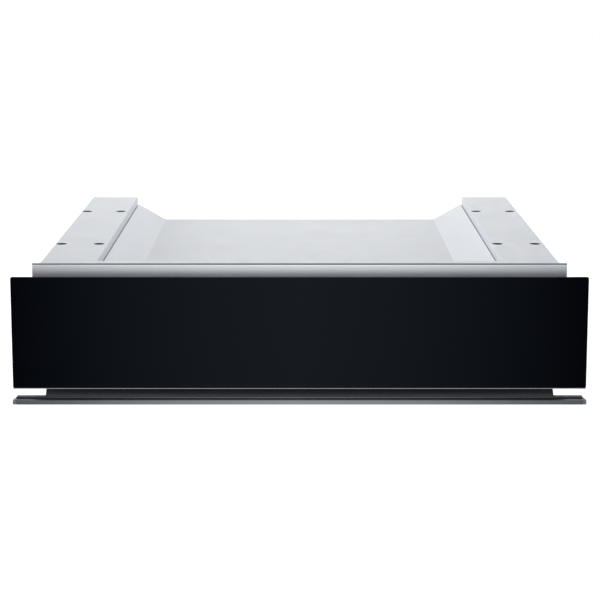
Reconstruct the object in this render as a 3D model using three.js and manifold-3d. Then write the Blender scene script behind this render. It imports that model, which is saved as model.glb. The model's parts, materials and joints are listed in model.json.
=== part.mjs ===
// A built-in warming drawer for a 600 mm kitchen unit: a sheet steel case with two raised rails that carry
// the appliance above, a drawer on three-part ball runners behind a black glass front, and a fan heater
// between the drawer and the back panel.
//
// Millimetres. +X is to the right as seen from the front, +Y runs from the front to the back, +Z is up.
// The origin is at the floor, in the middle of the overall width and depth.
import * as THREE from "three";
import { mergeVertices } from "three/addons/utils/BufferGeometryUtils.js";
import Module from "manifold-3d";

const wasm = await Module();
wasm.setup();

// ---------------------------------------------------------------------------------------------------------
// Driving sizes
// ---------------------------------------------------------------------------------------------------------
const GAP = 0.3; // between two pieces that touch on the real object
const SHEET = 1; // steel sheet of the case and the drawer
const STIFF_SHEET = 1.5; // sheet of the rails and the grip
const FRONT_SHEET = 1.2; // sheet of the bulkhead

// Case
const CASE_WIDTH = 539.4;
const CASE_DEPTH = 528; // from the front of the frame to the back
const FOOT_HEIGHT = 12.7;
const PAN_FLANGE = 8; // upturned edge of the bottom pan
const COVER_FLANGE = 10; // downturned edge of the top cover

// Top: rails, grooves beside them, slopes and the valley between
const RAIL_WIDTH = 58.1;
const RAIL_HEIGHT = 11;
const GROOVE_WIDTH = 1.4;
const GROOVE_DEPTH = 2;
const SLOPE_RUN = 35;
const SLOPE_RISE = 19.8;
const VALLEY_HEIGHT = 103.4; // top of the valley floor above the underside of the case
const RAIL_HOLE_DIAMETER = 12;
const RAIL_HOLE_LEFT_INSET = 6.8; // from the rail's left side, on both rails, which are the same part
const RAIL_HOLE_RIGHT_INSET = 9.8; // from the rail's right side
const RAIL_HOLE_FRONT = 132; // front pair, behind the front of the frame
const RAIL_HOLE_PITCH = 261.4; // front pair to rear pair

// Front of the case
const FRAME_OVERHANG = 7.7; // beyond the side of the case
const FRAME_DROP = 1.75; // top of the frame below the top of the bulkhead
const FRAME_FOOT = 1; // bottom of the frame above the bottom of the bulkhead
const FRAME_THICKNESS = 1;
const LIP_DEPTH = 14.6; // bulkhead's top lip

// Drawer front
const FRONT_STANDOFF = 20; // glass face in front of the frame
const GLASS_WIDTH = 595;
const GLASS_HEIGHT = 116.4;
const GLASS_THICKNESS = 4;
const GLASS_LIFT = 17.9; // lower edge above the floor
const GLASS_CORNER = 1.5;
const EDGE_LIP = 0.8; // metal strip under the glass
const GRIP_HEIGHT = 28;
const CARRIER_INSET = 14.5; // from the side of the glass
const CARRIER_OVERLAP = 1; // above the case opening
const FRONT_CLEARANCE = 2.7; // closed drawer front to frame

// Lower trim and air guide
const TRIM_OVERHANG = 0.5; // beyond the side of the glass
const TRIM_PROUD = 2; // in front of the glass
const TRIM_LIFT = 0.5;
const TRIM_HEIGHT = 4.6;
const TRIM_DEPTH = 18;
const TRIM_WALL = 1.8;
const END_CAP_LENGTH = 3;
const END_CAP_TAPER = 2; // narrower at the back
const END_CAP_TAPER_START = 4; // behind the front
const GUIDE_SETBACK = 8.8; // behind the front of the trim
const GUIDE_RIB_INSET = 2.7; // from the end of the trim
const GUIDE_RIB_HEIGHT = 1.7;
const GUIDE_RIB_CHAMFER = 1.6; // at the ends of the rib
const GUIDE_WEB_INSET = 5.1; // from the side of the case
const GUIDE_LIP_HEIGHT = 3.7;
const GUIDE_RISE = 10.1;
const GUIDE_FLANGE = 5;

// Drawer box
const DRAWER_FLOOR_CLEARANCE = 10; // above the bottom pan
const DRAWER_TOP_CLEARANCE = 7.4; // below the top cover
const REAR_SPACE = 87.4; // from the drawer to the back of the case, for the fan heater
const WALL_LIP = 5;
const OPENING_CLEARANCE = 3; // case opening around the drawer, above and below
const BASE_GLASS_THICKNESS = 4;
const BASE_GLASS_MARGIN = 3.6;
const MAT_THICKNESS = 1.5;
const MAT_MARGIN = 5;

// Runners
const RUNNER_FRONT_INSET = 7.4; // behind the front of the drawer box
const RUNNER_REAR_OVERHANG = 4.4; // behind the drawer box
const MIDDLE_SHORTER = 10; // the middle member ends this much before the others
const END_OVERLAP = 10; // length of the runners less the travel of the drawer
const RUNNER_HEIGHT = 45;
const RUNNER_THICKNESS = 13.1;
const RUNNER_SHEET = 1.2;
const RUNNER_LIFT = 40; // middle of the runner above the bottom of the drawer
const OUTER_BALL = 3;
const INNER_BALL = 2.4;
const BALL_PLAY = 0.18;
const BALLS_PER_ROW = 6;
const CAGE_LENGTH = 200;
const CAGE_SHEET = 0.4;

// Fan heater
const PARTITION_GAP = 6; // behind the drawer
const PARTITION_FLOOR_GAP = 4;
const FAN_CHAMBER_DEPTH = 28;
const FAN_CHAMBER_WIDTH = 190;
const FAN_CHAMBER_FLOOR_GAP = 6;
const FAN_CHAMBER_TOP_GAP = 7.4;
const HEATER_CLEARANCE = 2; // heater to fan chamber
const IMPELLER_CLEARANCE = 4; // impeller to heater
const IMPELLER_DEPTH = 15;
const IMPELLER_BLADES = 9;
const BLADE_THICKNESS = 1.2;
const HUB_RADIUS = 8;
const SHAFT_RADIUS = 2;
const MOTOR_RADIUS = 26;
const MOTOR_LENGTH = 26;
const MOTOR_BOSS_RADIUS = 12;
const MOTOR_BOSS_LENGTH = 4;
const HEATER_TUBE = 3;
const HEATER_LEG_X = 9;
const HEATER_LEG_REACH = 8; // behind the fan chamber

// Cable inlet in the back panel
const INLET_RADIUS = 9;
const INLET_FROM_SIDE = 53.4;
const INLET_LIFT = 22; // above the bottom pan

// Push latch behind the drawer
const LATCH_FROM_CHAMBER = 7;
const LATCH_WIDTH = 24;
const LATCH_HEIGHT = 16;
const LATCH_DEPTH = 38;
const LATCH_TRAVEL = 5;
const PLUNGER_RADIUS = 3;
const PLUNGER_IN_BODY = 22;

// Controls on the frame, hidden behind the closed drawer front
const FASCIA_WIDTH = 54;
const FASCIA_HEIGHT = 16.5;
const FASCIA_THICKNESS = 2.5;
const FASCIA_END_INSET = 2; // from the side of the case opening
const KNOB_RADIUS = 7;
const KNOB_DEPTH = 9;
const KNOB_INSET = 18; // from the fascia's inner end
const KNOB_SHAFT_RADIUS = 3;
const BUTTON_RADIUS = 4;
const BUTTON_INSET = 12; // from the fascia's outer end
const BUTTON_TRAVEL = 2;
const BUTTON_PROUD = 4;
const LENS_RADIUS = 2;
const THERMOSTAT_DEPTH = 26;
const LOOM_RADIUS = 3;

// ---------------------------------------------------------------------------------------------------------
// Places worked out from the sizes
// ---------------------------------------------------------------------------------------------------------
const caseHalf = CASE_WIDTH / 2;
const frameHalf = caseHalf + FRAME_OVERHANG;
const glassHalf = GLASS_WIDTH / 2;
const carrierHalf = glassHalf - CARRIER_INSET;
const trimHalf = glassHalf + TRIM_OVERHANG;
const frameFront = -(TRIM_PROUD + FRONT_STANDOFF + CASE_DEPTH) / 2 + TRIM_PROUD + FRONT_STANDOFF;
const frameBack = frameFront + FRAME_THICKNESS;
const bulkheadFront = frameBack + GAP;
const bulkheadBack = bulkheadFront + FRONT_SHEET;
const lipBack = bulkheadFront + LIP_DEPTH;
const caseFront = bulkheadBack + GAP;
const caseRear = frameFront + CASE_DEPTH;

const caseFloor = FOOT_HEIGHT + GAP;
const panTop = caseFloor + SHEET;
const valleyTop = caseFloor + VALLEY_HEIGHT;
const slopeTop = valleyTop + SLOPE_RISE;
const shoulderTop = slopeTop - GROOVE_DEPTH;
const railBottom = shoulderTop + GAP;
const railTop = railBottom + RAIL_HEIGHT;

const railInner = caseHalf - RAIL_WIDTH;
const slopeTopX = railInner - GROOVE_WIDTH;
const valleyHalf = slopeTopX - SLOPE_RUN;
const innerHalf = caseHalf - SHEET - GAP; // what fits between the side walls

const glassFront = frameFront - FRONT_STANDOFF;
const glassBack = glassFront + GLASS_THICKNESS;
const gripFront = glassBack + GAP;
const gripBottom = GLASS_LIFT - GAP - EDGE_LIP;
const drawerFrontBack = frameFront - FRONT_CLEARANCE;
const carrierBottom = gripBottom + GRIP_HEIGHT + GAP;

const drawerBottom = panTop + DRAWER_FLOOR_CLEARANCE;
const drawerTop = valleyTop - SHEET - DRAWER_TOP_CLEARANCE;
const drawerFront = drawerFrontBack + GAP;
const drawerRear = caseRear - REAR_SPACE;

const runnerOuter = innerHalf - GAP / 3;
const runnerInner = runnerOuter - RUNNER_THICKNESS;
const drawerHalf = runnerInner - GAP;
const runnerMidZ = drawerBottom + RUNNER_LIFT;
const runnerFront = drawerFront + RUNNER_FRONT_INSET;
const runnerRear = drawerRear + RUNNER_REAR_OVERHANG;
const drawerTravel = runnerRear - runnerFront - END_OVERLAP;

const openingBottom = drawerBottom - OPENING_CLEARANCE;
const openingTop = drawerTop + OPENING_CLEARANCE;
const carrierTop = openingTop + CARRIER_OVERLAP;

const loomX = innerHalf - LOOM_RADIUS - 1.2; // beside the drawer, above the runner and below the wall's lip
const loomZ = runnerMidZ + RUNNER_HEIGHT / 2 + LOOM_RADIUS + 6;

const partitionFront = drawerRear + PARTITION_GAP;
const partitionBack = partitionFront + SHEET;
const chamberFront = partitionBack + GAP;
const chamberBack = chamberFront + FAN_CHAMBER_DEPTH;
const chamberBottom = panTop + FAN_CHAMBER_FLOOR_GAP;
const chamberTop = valleyTop - SHEET - FAN_CHAMBER_TOP_GAP;
const fanZ = (chamberBottom + chamberTop) / 2;
const heaterRadius = (chamberTop - chamberBottom) / 2 - SHEET - HEATER_CLEARANCE - HEATER_TUBE;
const impellerRadius = heaterRadius - HEATER_TUBE - IMPELLER_CLEARANCE;

const latchX = FAN_CHAMBER_WIDTH / 2 + LATCH_FROM_CHAMBER + LATCH_WIDTH / 2;
const inletX = innerHalf - INLET_FROM_SIDE;
const inletZ = panTop + INLET_LIFT;

// ---------------------------------------------------------------------------------------------------------
// Materials
// ---------------------------------------------------------------------------------------------------------
const finish = (color, roughness, metalness) =>
  new THREE.MeshStandardMaterial({ color, roughness, metalness });
const galvanised = finish(0xd3d6db, 0.45, 0.6);
const stainless = finish(0xc3c6ca, 0.32, 1);
const zincedSteel = finish(0xb4b8bc, 0.35, 0.9);
const blackGlass = finish(0x101317, 0.08, 0);
const clearGlass = finish(0x30363a, 0.05, 0);
const aluminium = finish(0x8c9095, 0.35, 0.9);
const darkSteel = finish(0x24282b, 0.5, 0.4);
const blackPlastic = finish(0x17191b, 0.55, 0);
const greyPlastic = finish(0x6d7276, 0.6, 0);
const whitePlastic = finish(0xe2e2de, 0.5, 0);
const rubber = finish(0x1b1c1d, 0.85, 0);
const silicone = finish(0x2b2e31, 0.8, 0);
const heaterSteel = finish(0x4d4a46, 0.5, 0.8);
const circuitGreen = finish(0x1f5a37, 0.6, 0);
const amber = finish(0xd9822b, 0.2, 0);

// ---------------------------------------------------------------------------------------------------------
// Shapes
// ---------------------------------------------------------------------------------------------------------
const part = new THREE.Group();

function addPiece(name, geometry, material) {
  const mesh = new THREE.Mesh(geometry, material);
  mesh.name = name;
  part.add(mesh);
}

// A box between two corners, given as one [low, high] pair for each axis.
function block([x0, x1], [y0, y1], [z0, z1]) {
  const box = new THREE.BoxGeometry(x1 - x0, y1 - y0, z1 - z0);
  return box.translate((x0 + x1) / 2, (y0 + y1) / 2, (z0 + z1) / 2);
}

// Outlines are drawn in the two axes that the extrusion doesn't use, in X, Y, Z order.
const EXTRUSION_AXES = {
  x: [new THREE.Vector3(0, 1, 0), new THREE.Vector3(0, 0, 1), new THREE.Vector3(1, 0, 0)],
  y: [new THREE.Vector3(1, 0, 0), new THREE.Vector3(0, 0, 1), new THREE.Vector3(0, -1, 0)],
  z: [new THREE.Vector3(1, 0, 0), new THREE.Vector3(0, 1, 0), new THREE.Vector3(0, 0, 1)],
};

function extrude(outline, axis, [from, to]) {
  const shape = new THREE.Shape(outline.map(([a, b]) => new THREE.Vector2(a, b)));
  const solid = new THREE.ExtrudeGeometry(shape, { depth: to - from, bevelEnabled: false });
  solid.applyMatrix4(new THREE.Matrix4().makeBasis(...EXTRUSION_AXES[axis]));
  const start = new THREE.Vector3().setComponent("xyz".indexOf(axis), axis === "y" ? to : from);
  return solid.translate(start.x, start.y, start.z);
}

// A line moved sideways, to its right for a positive distance, with mitred corners.
function offsetLine(line, distance) {
  const right = (p, q) => {
    const length = Math.hypot(q[0] - p[0], q[1] - p[1]);
    return [(q[1] - p[1]) / length, (p[0] - q[0]) / length];
  };
  return line.map((point, i) => {
    const before = right(line[Math.max(i - 1, 0)], line[Math.max(i, 1)]);
    const after = right(line[Math.min(i, line.length - 2)], line[Math.min(i + 1, line.length - 1)]);
    const spread = 1 + before[0] * after[0] + before[1] * after[1];
    return [
      point[0] + (distance * (before[0] + after[0])) / spread,
      point[1] + (distance * (before[1] + after[1])) / spread,
    ];
  });
}

// The outline of a folded sheet whose one side follows a line and whose thickness lies to its right.
const foldedSheet = (line, thickness) => [...line, ...offsetLine(line, thickness).reverse()];

const mirrorLine = (line) => line.map(([x, z]) => [-x, z]).reverse();

// A round rod along an axis, with its centre line at the two other coordinates, in X, Y, Z order.
function rod(axis, radius, [from, to], [a, b], sides = 32) {
  const cylinder = new THREE.CylinderGeometry(radius, radius, to - from, sides);
  const middle = (from + to) / 2;
  if (axis === "x") return cylinder.rotateZ(Math.PI / 2).translate(middle, a, b);
  if (axis === "y") return cylinder.translate(a, middle, b);
  return cylinder.rotateX(Math.PI / 2).translate(a, b, middle);
}

// A turned piece about an axis along Y: the profile holds [radius, y] points.
function turnedAlongY(profile, [x, z], sides = 32) {
  const points = profile.map(([r, y]) => new THREE.Vector2(r, y));
  return new THREE.LatheGeometry(points, sides).translate(x, 0, z);
}

// A bent round wire or tube through a list of points.
function tubeAlong(points, radius, steps, sides = 6) {
  const path = new THREE.CatmullRomCurve3(points.map((p) => new THREE.Vector3(...p)), false, "centripetal");
  const section = new THREE.Shape();
  for (let i = 0; i < sides; i++) {
    const angle = (2 * Math.PI * i) / sides;
    const corner = [radius * Math.cos(angle), radius * Math.sin(angle)];
    if (i) section.lineTo(...corner);
    else section.moveTo(...corner);
  }
  return new THREE.ExtrudeGeometry(section, { steps, extrudePath: path, bevelEnabled: false });
}

function solidOf(geometry) {
  const bare = geometry.clone();
  bare.deleteAttribute("normal");
  bare.deleteAttribute("uv");
  const merged = mergeVertices(bare, 1e-4);
  return new wasm.Manifold(
    new wasm.Mesh({
      numProp: 3,
      vertProperties: new Float32Array(merged.attributes.position.array),
      triVerts: new Uint32Array(merged.index.array),
    }),
  );
}

function geometryOf(solid) {
  const mesh = solid.getMesh();
  const geometry = new THREE.BufferGeometry();
  geometry.setAttribute("position", new THREE.BufferAttribute(new Float32Array(mesh.vertProperties), 3));
  geometry.setIndex(new THREE.BufferAttribute(new Uint32Array(mesh.triVerts), 1));
  geometry.computeVertexNormals();
  return geometry;
}

const cut = (base, ...tools) =>
  geometryOf(tools.reduce((solid, tool) => solid.subtract(solidOf(tool)), solidOf(base)));
const join = (first, ...others) =>
  geometryOf(others.reduce((solid, other) => solid.add(solidOf(other)), solidOf(first)));

// A row of equal places, centred on the middle.
const row = (count, pitch, middle = 0) =>
  Array.from({ length: count }, (_, i) => middle + (i - (count - 1) / 2) * pitch);

const SIDES = [
  ["left", -1],
  ["right", 1],
];

// A [low, high] pair on the right side, or its mirror on the left.
const onSide = (side, [inner, outer]) => (side > 0 ? [inner, outer] : [-outer, -inner]);

// ---------------------------------------------------------------------------------------------------------
// Case
// ---------------------------------------------------------------------------------------------------------
const coverSlope = [
  [-slopeTopX, slopeTop],
  [-valleyHalf, valleyTop],
  [valleyHalf, valleyTop],
  [slopeTopX, slopeTop],
];

function addBottomPan() {
  const line = [
    [innerHalf, caseFloor + PAN_FLANGE],
    [innerHalf, caseFloor],
    [-innerHalf, caseFloor],
    [-innerHalf, caseFloor + PAN_FLANGE],
  ];
  addPiece("bottom_pan", extrude(foldedSheet(line, SHEET), "y", [caseFront, caseRear]), galvanised);
}

function addSideWalls() {
  const FIXING_HOLE_RADIUS = 2.5;
  const FIXING_HOLE_FROM_FRONT = 12;
  const VENT_COUNT = 6;
  const VENT_PITCH = 9;
  const VENT_LENGTH = 40;
  const VENT_HEIGHT = 3;
  const VENT_FROM_REAR = 36;
  for (const [name, side] of SIDES) {
    const through = onSide(side, [caseHalf - 2 * SHEET, caseHalf + SHEET]);
    const wall = block(
      onSide(side, [caseHalf - SHEET, caseHalf]),
      [caseFront, caseRear],
      [caseFloor, shoulderTop],
    );
    const runnerTop = runnerMidZ + RUNNER_HEIGHT / 2;
    const runnerBottom = runnerMidZ - RUNNER_HEIGHT / 2;
    const screwRows = [(caseFloor + PAN_FLANGE + runnerBottom) / 2, (runnerTop + drawerTop) / 2];
    const screwHoles = screwRows.map((z) =>
      rod("x", FIXING_HOLE_RADIUS, through, [caseFront + FIXING_HOLE_FROM_FRONT, z], 16),
    );
    const vents = row(VENT_COUNT, VENT_PITCH, runnerMidZ).map((z) =>
      block(
        through,
        [caseRear - VENT_FROM_REAR - VENT_LENGTH / 2, caseRear - VENT_FROM_REAR + VENT_LENGTH / 2],
        [z - VENT_HEIGHT / 2, z + VENT_HEIGHT / 2],
      ),
    );
    addPiece(`${name}_side_wall`, cut(wall, ...screwHoles, ...vents), galvanised);
  }
}

function addTopCover() {
  const rightShoulder = [
    [slopeTopX, shoulderTop],
    [innerHalf, shoulderTop],
    [innerHalf, shoulderTop - COVER_FLANGE],
  ];
  const line = [...mirrorLine(rightShoulder), ...coverSlope, ...rightShoulder];
  addPiece("top_cover", extrude(foldedSheet(line, SHEET), "y", [caseFront, caseRear]), galvanised);
}

function addSupportRails() {
  const front = lipBack + GAP;
  for (const [name, side] of SIDES) {
    const shell = block(onSide(side, [railInner, caseHalf]), [front, caseRear], [railBottom, railTop]);
    const hollow = block(
      onSide(side, [railInner + STIFF_SHEET, caseHalf - STIFF_SHEET]),
      [front + STIFF_SHEET, caseRear - STIFF_SHEET],
      [railBottom - 1, railTop - STIFF_SHEET],
    );
    const [left, right] = onSide(side, [railInner, caseHalf]);
    const holes = [];
    for (const x of [left + RAIL_HOLE_LEFT_INSET, right - RAIL_HOLE_RIGHT_INSET]) {
      for (const y of [frameFront + RAIL_HOLE_FRONT, frameFront + RAIL_HOLE_FRONT + RAIL_HOLE_PITCH]) {
        holes.push(rod("z", RAIL_HOLE_DIAMETER / 2, [railTop - 2 * STIFF_SHEET, railTop + 1], [x, y], 16));
      }
    }
    addPiece(`${name}_support_rail`, cut(shell, hollow, ...holes), galvanised);
  }
}

function addBackPanel() {
  const VENT_COUNT = 9;
  const VENT_PITCH = 12;
  const VENT_WIDTH = 4;
  const VENT_HEIGHT = 46;
  const half = innerHalf - SHEET - GAP;
  const top = shoulderTop - SHEET - GAP;
  const underCover = offsetLine(coverSlope, SHEET + GAP);
  const slope = SLOPE_RISE / SLOPE_RUN;
  const edgeX = underCover[2][0] + (top - underCover[2][1]) / slope;
  const outline = [
    [-half, panTop + GAP],
    [half, panTop + GAP],
    [half, top],
    [edgeX, top],
    underCover[2],
    underCover[1],
    [-edgeX, top],
    [-half, top],
  ];
  const panel = extrude(outline, "y", [caseRear - SHEET, caseRear]);
  const through = [caseRear - 2 * SHEET, caseRear + SHEET];
  const vents = row(VENT_COUNT, VENT_PITCH).map((x) =>
    block(
      [x - VENT_WIDTH / 2, x + VENT_WIDTH / 2],
      through,
      [fanZ - VENT_HEIGHT / 2, fanZ + VENT_HEIGHT / 2],
    ),
  );
  const inlet = rod("y", INLET_RADIUS, through, [-inletX, inletZ], 24);
  addPiece("back_panel", cut(panel, ...vents, inlet), galvanised);
}

function addFeet() {
  const FOOT_RADIUS = 15;
  const FOOT_TOP_RADIUS = 12;
  const FOOT_FROM_SIDE = 38;
  const FOOT_FROM_FRONT = 84;
  const FOOT_FROM_REAR = 36;
  const profile = [
    [0, 0],
    [FOOT_RADIUS, 0],
    [FOOT_RADIUS, FOOT_HEIGHT / 3],
    [FOOT_TOP_RADIUS, FOOT_HEIGHT],
    [0, FOOT_HEIGHT],
  ].map(([r, z]) => new THREE.Vector2(r, z));
  const rows = [
    ["front", frameFront + FOOT_FROM_FRONT],
    ["rear", caseRear - FOOT_FROM_REAR],
  ];
  for (const [name, side] of SIDES) {
    for (const [place, y] of rows) {
      const foot = new THREE.LatheGeometry(profile, 24).rotateX(Math.PI / 2);
      foot.translate(side * (caseHalf - FOOT_FROM_SIDE), y, 0);
      addPiece(`${place}_${name}_foot`, foot, rubber);
    }
  }
}

// ---------------------------------------------------------------------------------------------------------
// Controls: their places, which the frame and the bulkhead need for their holes
// ---------------------------------------------------------------------------------------------------------
const openingHalf = runnerOuter - RUNNER_SHEET + GAP / 3;
const fasciaBack = frameFront - GAP;
const fasciaFront = fasciaBack - FASCIA_THICKNESS;
const fasciaX = [openingHalf - FASCIA_END_INSET - FASCIA_WIDTH, openingHalf - FASCIA_END_INSET];
const fasciaZ = [openingTop + FASCIA_END_INSET, openingTop + FASCIA_END_INSET + FASCIA_HEIGHT];
const controlZ = (fasciaZ[0] + fasciaZ[1]) / 2;
const knobX = fasciaX[0] + KNOB_INSET;
const buttonX = fasciaX[1] - BUTTON_INSET;
const lensX = (knobX + KNOB_RADIUS + buttonX - BUTTON_RADIUS) / 2;

const controlHoles = (from, to) => [
  rod("y", KNOB_SHAFT_RADIUS + GAP, [from, to], [knobX, controlZ], 24),
  rod("y", BUTTON_RADIUS + GAP, [from, to], [buttonX, controlZ], 24),
];

function addBulkheadAndFrame() {
  const opening = block(
    [-openingHalf, openingHalf],
    [frameFront - SHEET, lipBack + SHEET],
    [openingBottom, openingTop],
  );
  const holes = controlHoles(frameFront - 1, bulkheadBack + 1);
  const plate = block([-frameHalf, frameHalf], [bulkheadFront, bulkheadBack], [caseFloor, railTop]);
  const lip = block([-caseHalf, caseHalf], [bulkheadFront, lipBack], [railTop - FRONT_SHEET, railTop]);
  addPiece("front_bulkhead", cut(join(plate, lip), opening, ...holes), galvanised);

  const frame = block(
    [-frameHalf, frameHalf],
    [frameFront, frameBack],
    [caseFloor + FRAME_FOOT, railTop - FRAME_DROP],
  );
  addPiece("front_frame", cut(frame, opening, ...holes), stainless);
}

// The trim closes the niche below the drawer: a bar as wide as the glass, and a dark guide that slopes
// back from it to the frame, which leaves room for fingertips under the glass.
function addLowerTrim() {
  const front = glassFront - TRIM_PROUD;
  const top = TRIM_LIFT + TRIM_HEIGHT;
  const rear = front + TRIM_DEPTH;
  const barHalf = trimHalf - END_CAP_LENGTH - GAP;
  const line = [
    [rear, top],
    [front, top],
    [front, TRIM_LIFT],
  ];
  const bar = extrude(foldedSheet(line, -TRIM_WALL), "x", [-barHalf, barHalf]);
  addPiece("lower_trim_bar", bar, aluminium);

  for (const [name, side] of SIDES) {
    const inner = side * (barHalf + GAP);
    const outer = side * trimHalf;
    const outline = [
      [inner, front],
      [outer, front],
      [outer, front + END_CAP_TAPER_START],
      [outer - side * END_CAP_TAPER, rear],
      [inner, rear],
    ];
    addPiece(`${name}_trim_end_cap`, extrude(outline, "z", [TRIM_LIFT, top]), blackPlastic);
  }

  const guideFront = front + GUIDE_SETBACK;
  const guideBottom = top + GAP;
  const lipTop = guideBottom + GUIDE_LIP_HEIGHT;
  const foot = [
    [rear, guideBottom],
    [guideFront, guideBottom],
  ];
  const rib = foldedSheet([...foot, [guideFront, guideBottom + GUIDE_RIB_HEIGHT]], SHEET);
  const web = foldedSheet(
    [
      ...foot,
      [guideFront, lipTop],
      [fasciaBack, lipTop + GUIDE_RISE],
      [fasciaBack, lipTop + GUIDE_RISE - GUIDE_FLANGE],
    ],
    SHEET,
  );
  const ribHalf = trimHalf - GUIDE_RIB_INSET;
  const webHalf = caseHalf - GUIDE_WEB_INSET;
  const ribTop = guideBottom + GUIDE_RIB_HEIGHT;
  const corner = (side) => {
    const outline = [
      [side * (ribHalf - GUIDE_RIB_CHAMFER), ribTop + GAP],
      [side * (ribHalf + GAP), ribTop + GAP],
      [side * (ribHalf + GAP), ribTop - GUIDE_RIB_CHAMFER],
      [side * ribHalf, ribTop - GUIDE_RIB_CHAMFER],
      [side * (ribHalf - GUIDE_RIB_CHAMFER), ribTop],
    ];
    return extrude(outline, "y", [guideFront - SHEET, guideFront + 2 * SHEET]);
  };
  const wholeRib = extrude(rib, "x", [-ribHalf, ribHalf]);
  const chamferedRib = cut(wholeRib, corner(-1), corner(1));
  const guide = join(chamferedRib, extrude(web, "x", [-webHalf, webHalf]));
  addPiece("lower_air_guide", guide, darkSteel);
}

// ---------------------------------------------------------------------------------------------------------
// Drawer
// ---------------------------------------------------------------------------------------------------------
function addDrawerFront() {
  const top = GLASS_LIFT + GLASS_HEIGHT;
  const corner = GLASS_CORNER;
  const outline = [];
  const arcs = [
    [glassHalf - corner, top - corner, 0],
    [-glassHalf + corner, top - corner, 1],
    [-glassHalf + corner, GLASS_LIFT + corner, 2],
    [glassHalf - corner, GLASS_LIFT + corner, 3],
  ];
  for (const [x, z, quarter] of arcs) {
    for (const step of [0, 1, 2]) {
      const angle = ((quarter + step / 2) * Math.PI) / 2;
      outline.push([x + corner * Math.cos(angle), z + corner * Math.sin(angle)]);
    }
  }
  addPiece("glass_front", extrude(outline, "y", [glassFront, glassBack]), blackGlass);

  const gripX = [-glassHalf, glassHalf];
  const gripBack = gripFront + STIFF_SHEET;
  const lip = block(gripX, [glassFront, gripBack], [gripBottom, gripBottom + EDGE_LIP]);
  const leg = block(gripX, [gripFront, gripBack], [gripBottom, gripBottom + GRIP_HEIGHT]);
  addPiece("grip_profile", join(lip, leg), aluminium);

  const carrierX = [-carrierHalf, carrierHalf];
  const wallFront = drawerFrontBack - SHEET;
  const carrier = block(carrierX, [gripFront, wallFront - GAP], [carrierBottom, carrierTop]);
  const hollow = block(
    [-carrierHalf + SHEET, carrierHalf - SHEET],
    [gripFront + SHEET, wallFront + 1],
    [carrierBottom + SHEET, carrierTop - SHEET],
  );
  addPiece("front_carrier", cut(carrier, hollow), zincedSteel);

  const wall = block(carrierX, [wallFront, drawerFrontBack], [drawerBottom, carrierTop]);
  addPiece("drawer_front_wall", wall, stainless);
}

function addDrawerBox() {
  const SLOT_COUNT = 10;
  const SLOT_PITCH = 42;
  const SLOT_WIDTH = 28;
  const SLOT_HEIGHT = 4;
  const SLOT_ROWS = 2;
  const SLOT_ROW_PITCH = 14;
  const innerWall = drawerHalf - SHEET;
  for (const [name, side] of SIDES) {
    const line = [
      [side * innerWall, drawerBottom],
      [side * innerWall, drawerTop],
      [side * (drawerHalf + WALL_LIP), drawerTop],
    ];
    const wall = extrude(foldedSheet(line, side * SHEET), "y", [drawerFront, drawerRear]);
    addPiece(`${name}_drawer_wall`, wall, stainless);
  }

  const baseHalf = innerWall - GAP;
  const baseX = [-baseHalf, baseHalf];
  const baseY = [drawerFront, drawerRear - SHEET - GAP];
  addPiece("drawer_base_pan", block(baseX, baseY, [drawerBottom, drawerBottom + SHEET]), stainless);

  const rearWall = block(baseX, [drawerRear - SHEET, drawerRear], [drawerBottom, drawerTop]);
  const slots = [];
  for (const x of row(SLOT_COUNT, SLOT_PITCH)) {
    for (const z of row(SLOT_ROWS, SLOT_ROW_PITCH, fanZ)) {
      slots.push(
        block(
          [x - SLOT_WIDTH / 2, x + SLOT_WIDTH / 2],
          [drawerRear - 2 * SHEET, drawerRear + SHEET],
          [z - SLOT_HEIGHT / 2, z + SLOT_HEIGHT / 2],
        ),
      );
    }
  }
  addPiece("drawer_rear_wall", cut(rearWall, ...slots), stainless);

  const plateHalf = baseHalf - BASE_GLASS_MARGIN;
  const plateBottom = drawerBottom + SHEET + GAP;
  const plateTop = plateBottom + BASE_GLASS_THICKNESS;
  const plateY = [drawerFront + BASE_GLASS_MARGIN, drawerRear - SHEET - BASE_GLASS_MARGIN];
  addPiece("glass_base_plate", block([-plateHalf, plateHalf], plateY, [plateBottom, plateTop]), clearGlass);

  const matHalf = plateHalf - MAT_MARGIN;
  const matY = [plateY[0] + MAT_MARGIN, plateY[1] - MAT_MARGIN];
  const matZ = [plateTop + GAP, plateTop + GAP + MAT_THICKNESS];
  addPiece("anti_slip_mat", block([-matHalf, matHalf], matY, matZ), silicone);
}

// ---------------------------------------------------------------------------------------------------------
// Runners: three nested channels on each side, and two ball cages between them
// ---------------------------------------------------------------------------------------------------------
// A channel seen from the front: its web between two x values, and lips that reach from it to another.
function channel(side, web, lipTo, height, [y0, y1]) {
  const half = height / 2;
  const [low, high] = [runnerMidZ - half, runnerMidZ + half];
  const back = lipTo < web[0] ? web[1] : web[0];
  const line = [
    [lipTo, high],
    [back, high],
    [back, low],
    [lipTo, low],
  ];
  const turn = lipTo < web[0] ? 1 : -1;
  const outline = foldedSheet(line, turn * (web[1] - web[0])).map(([x, z]) => [side * x, z]);
  return extrude(outline, "y", [y0, y1]);
}

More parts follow.
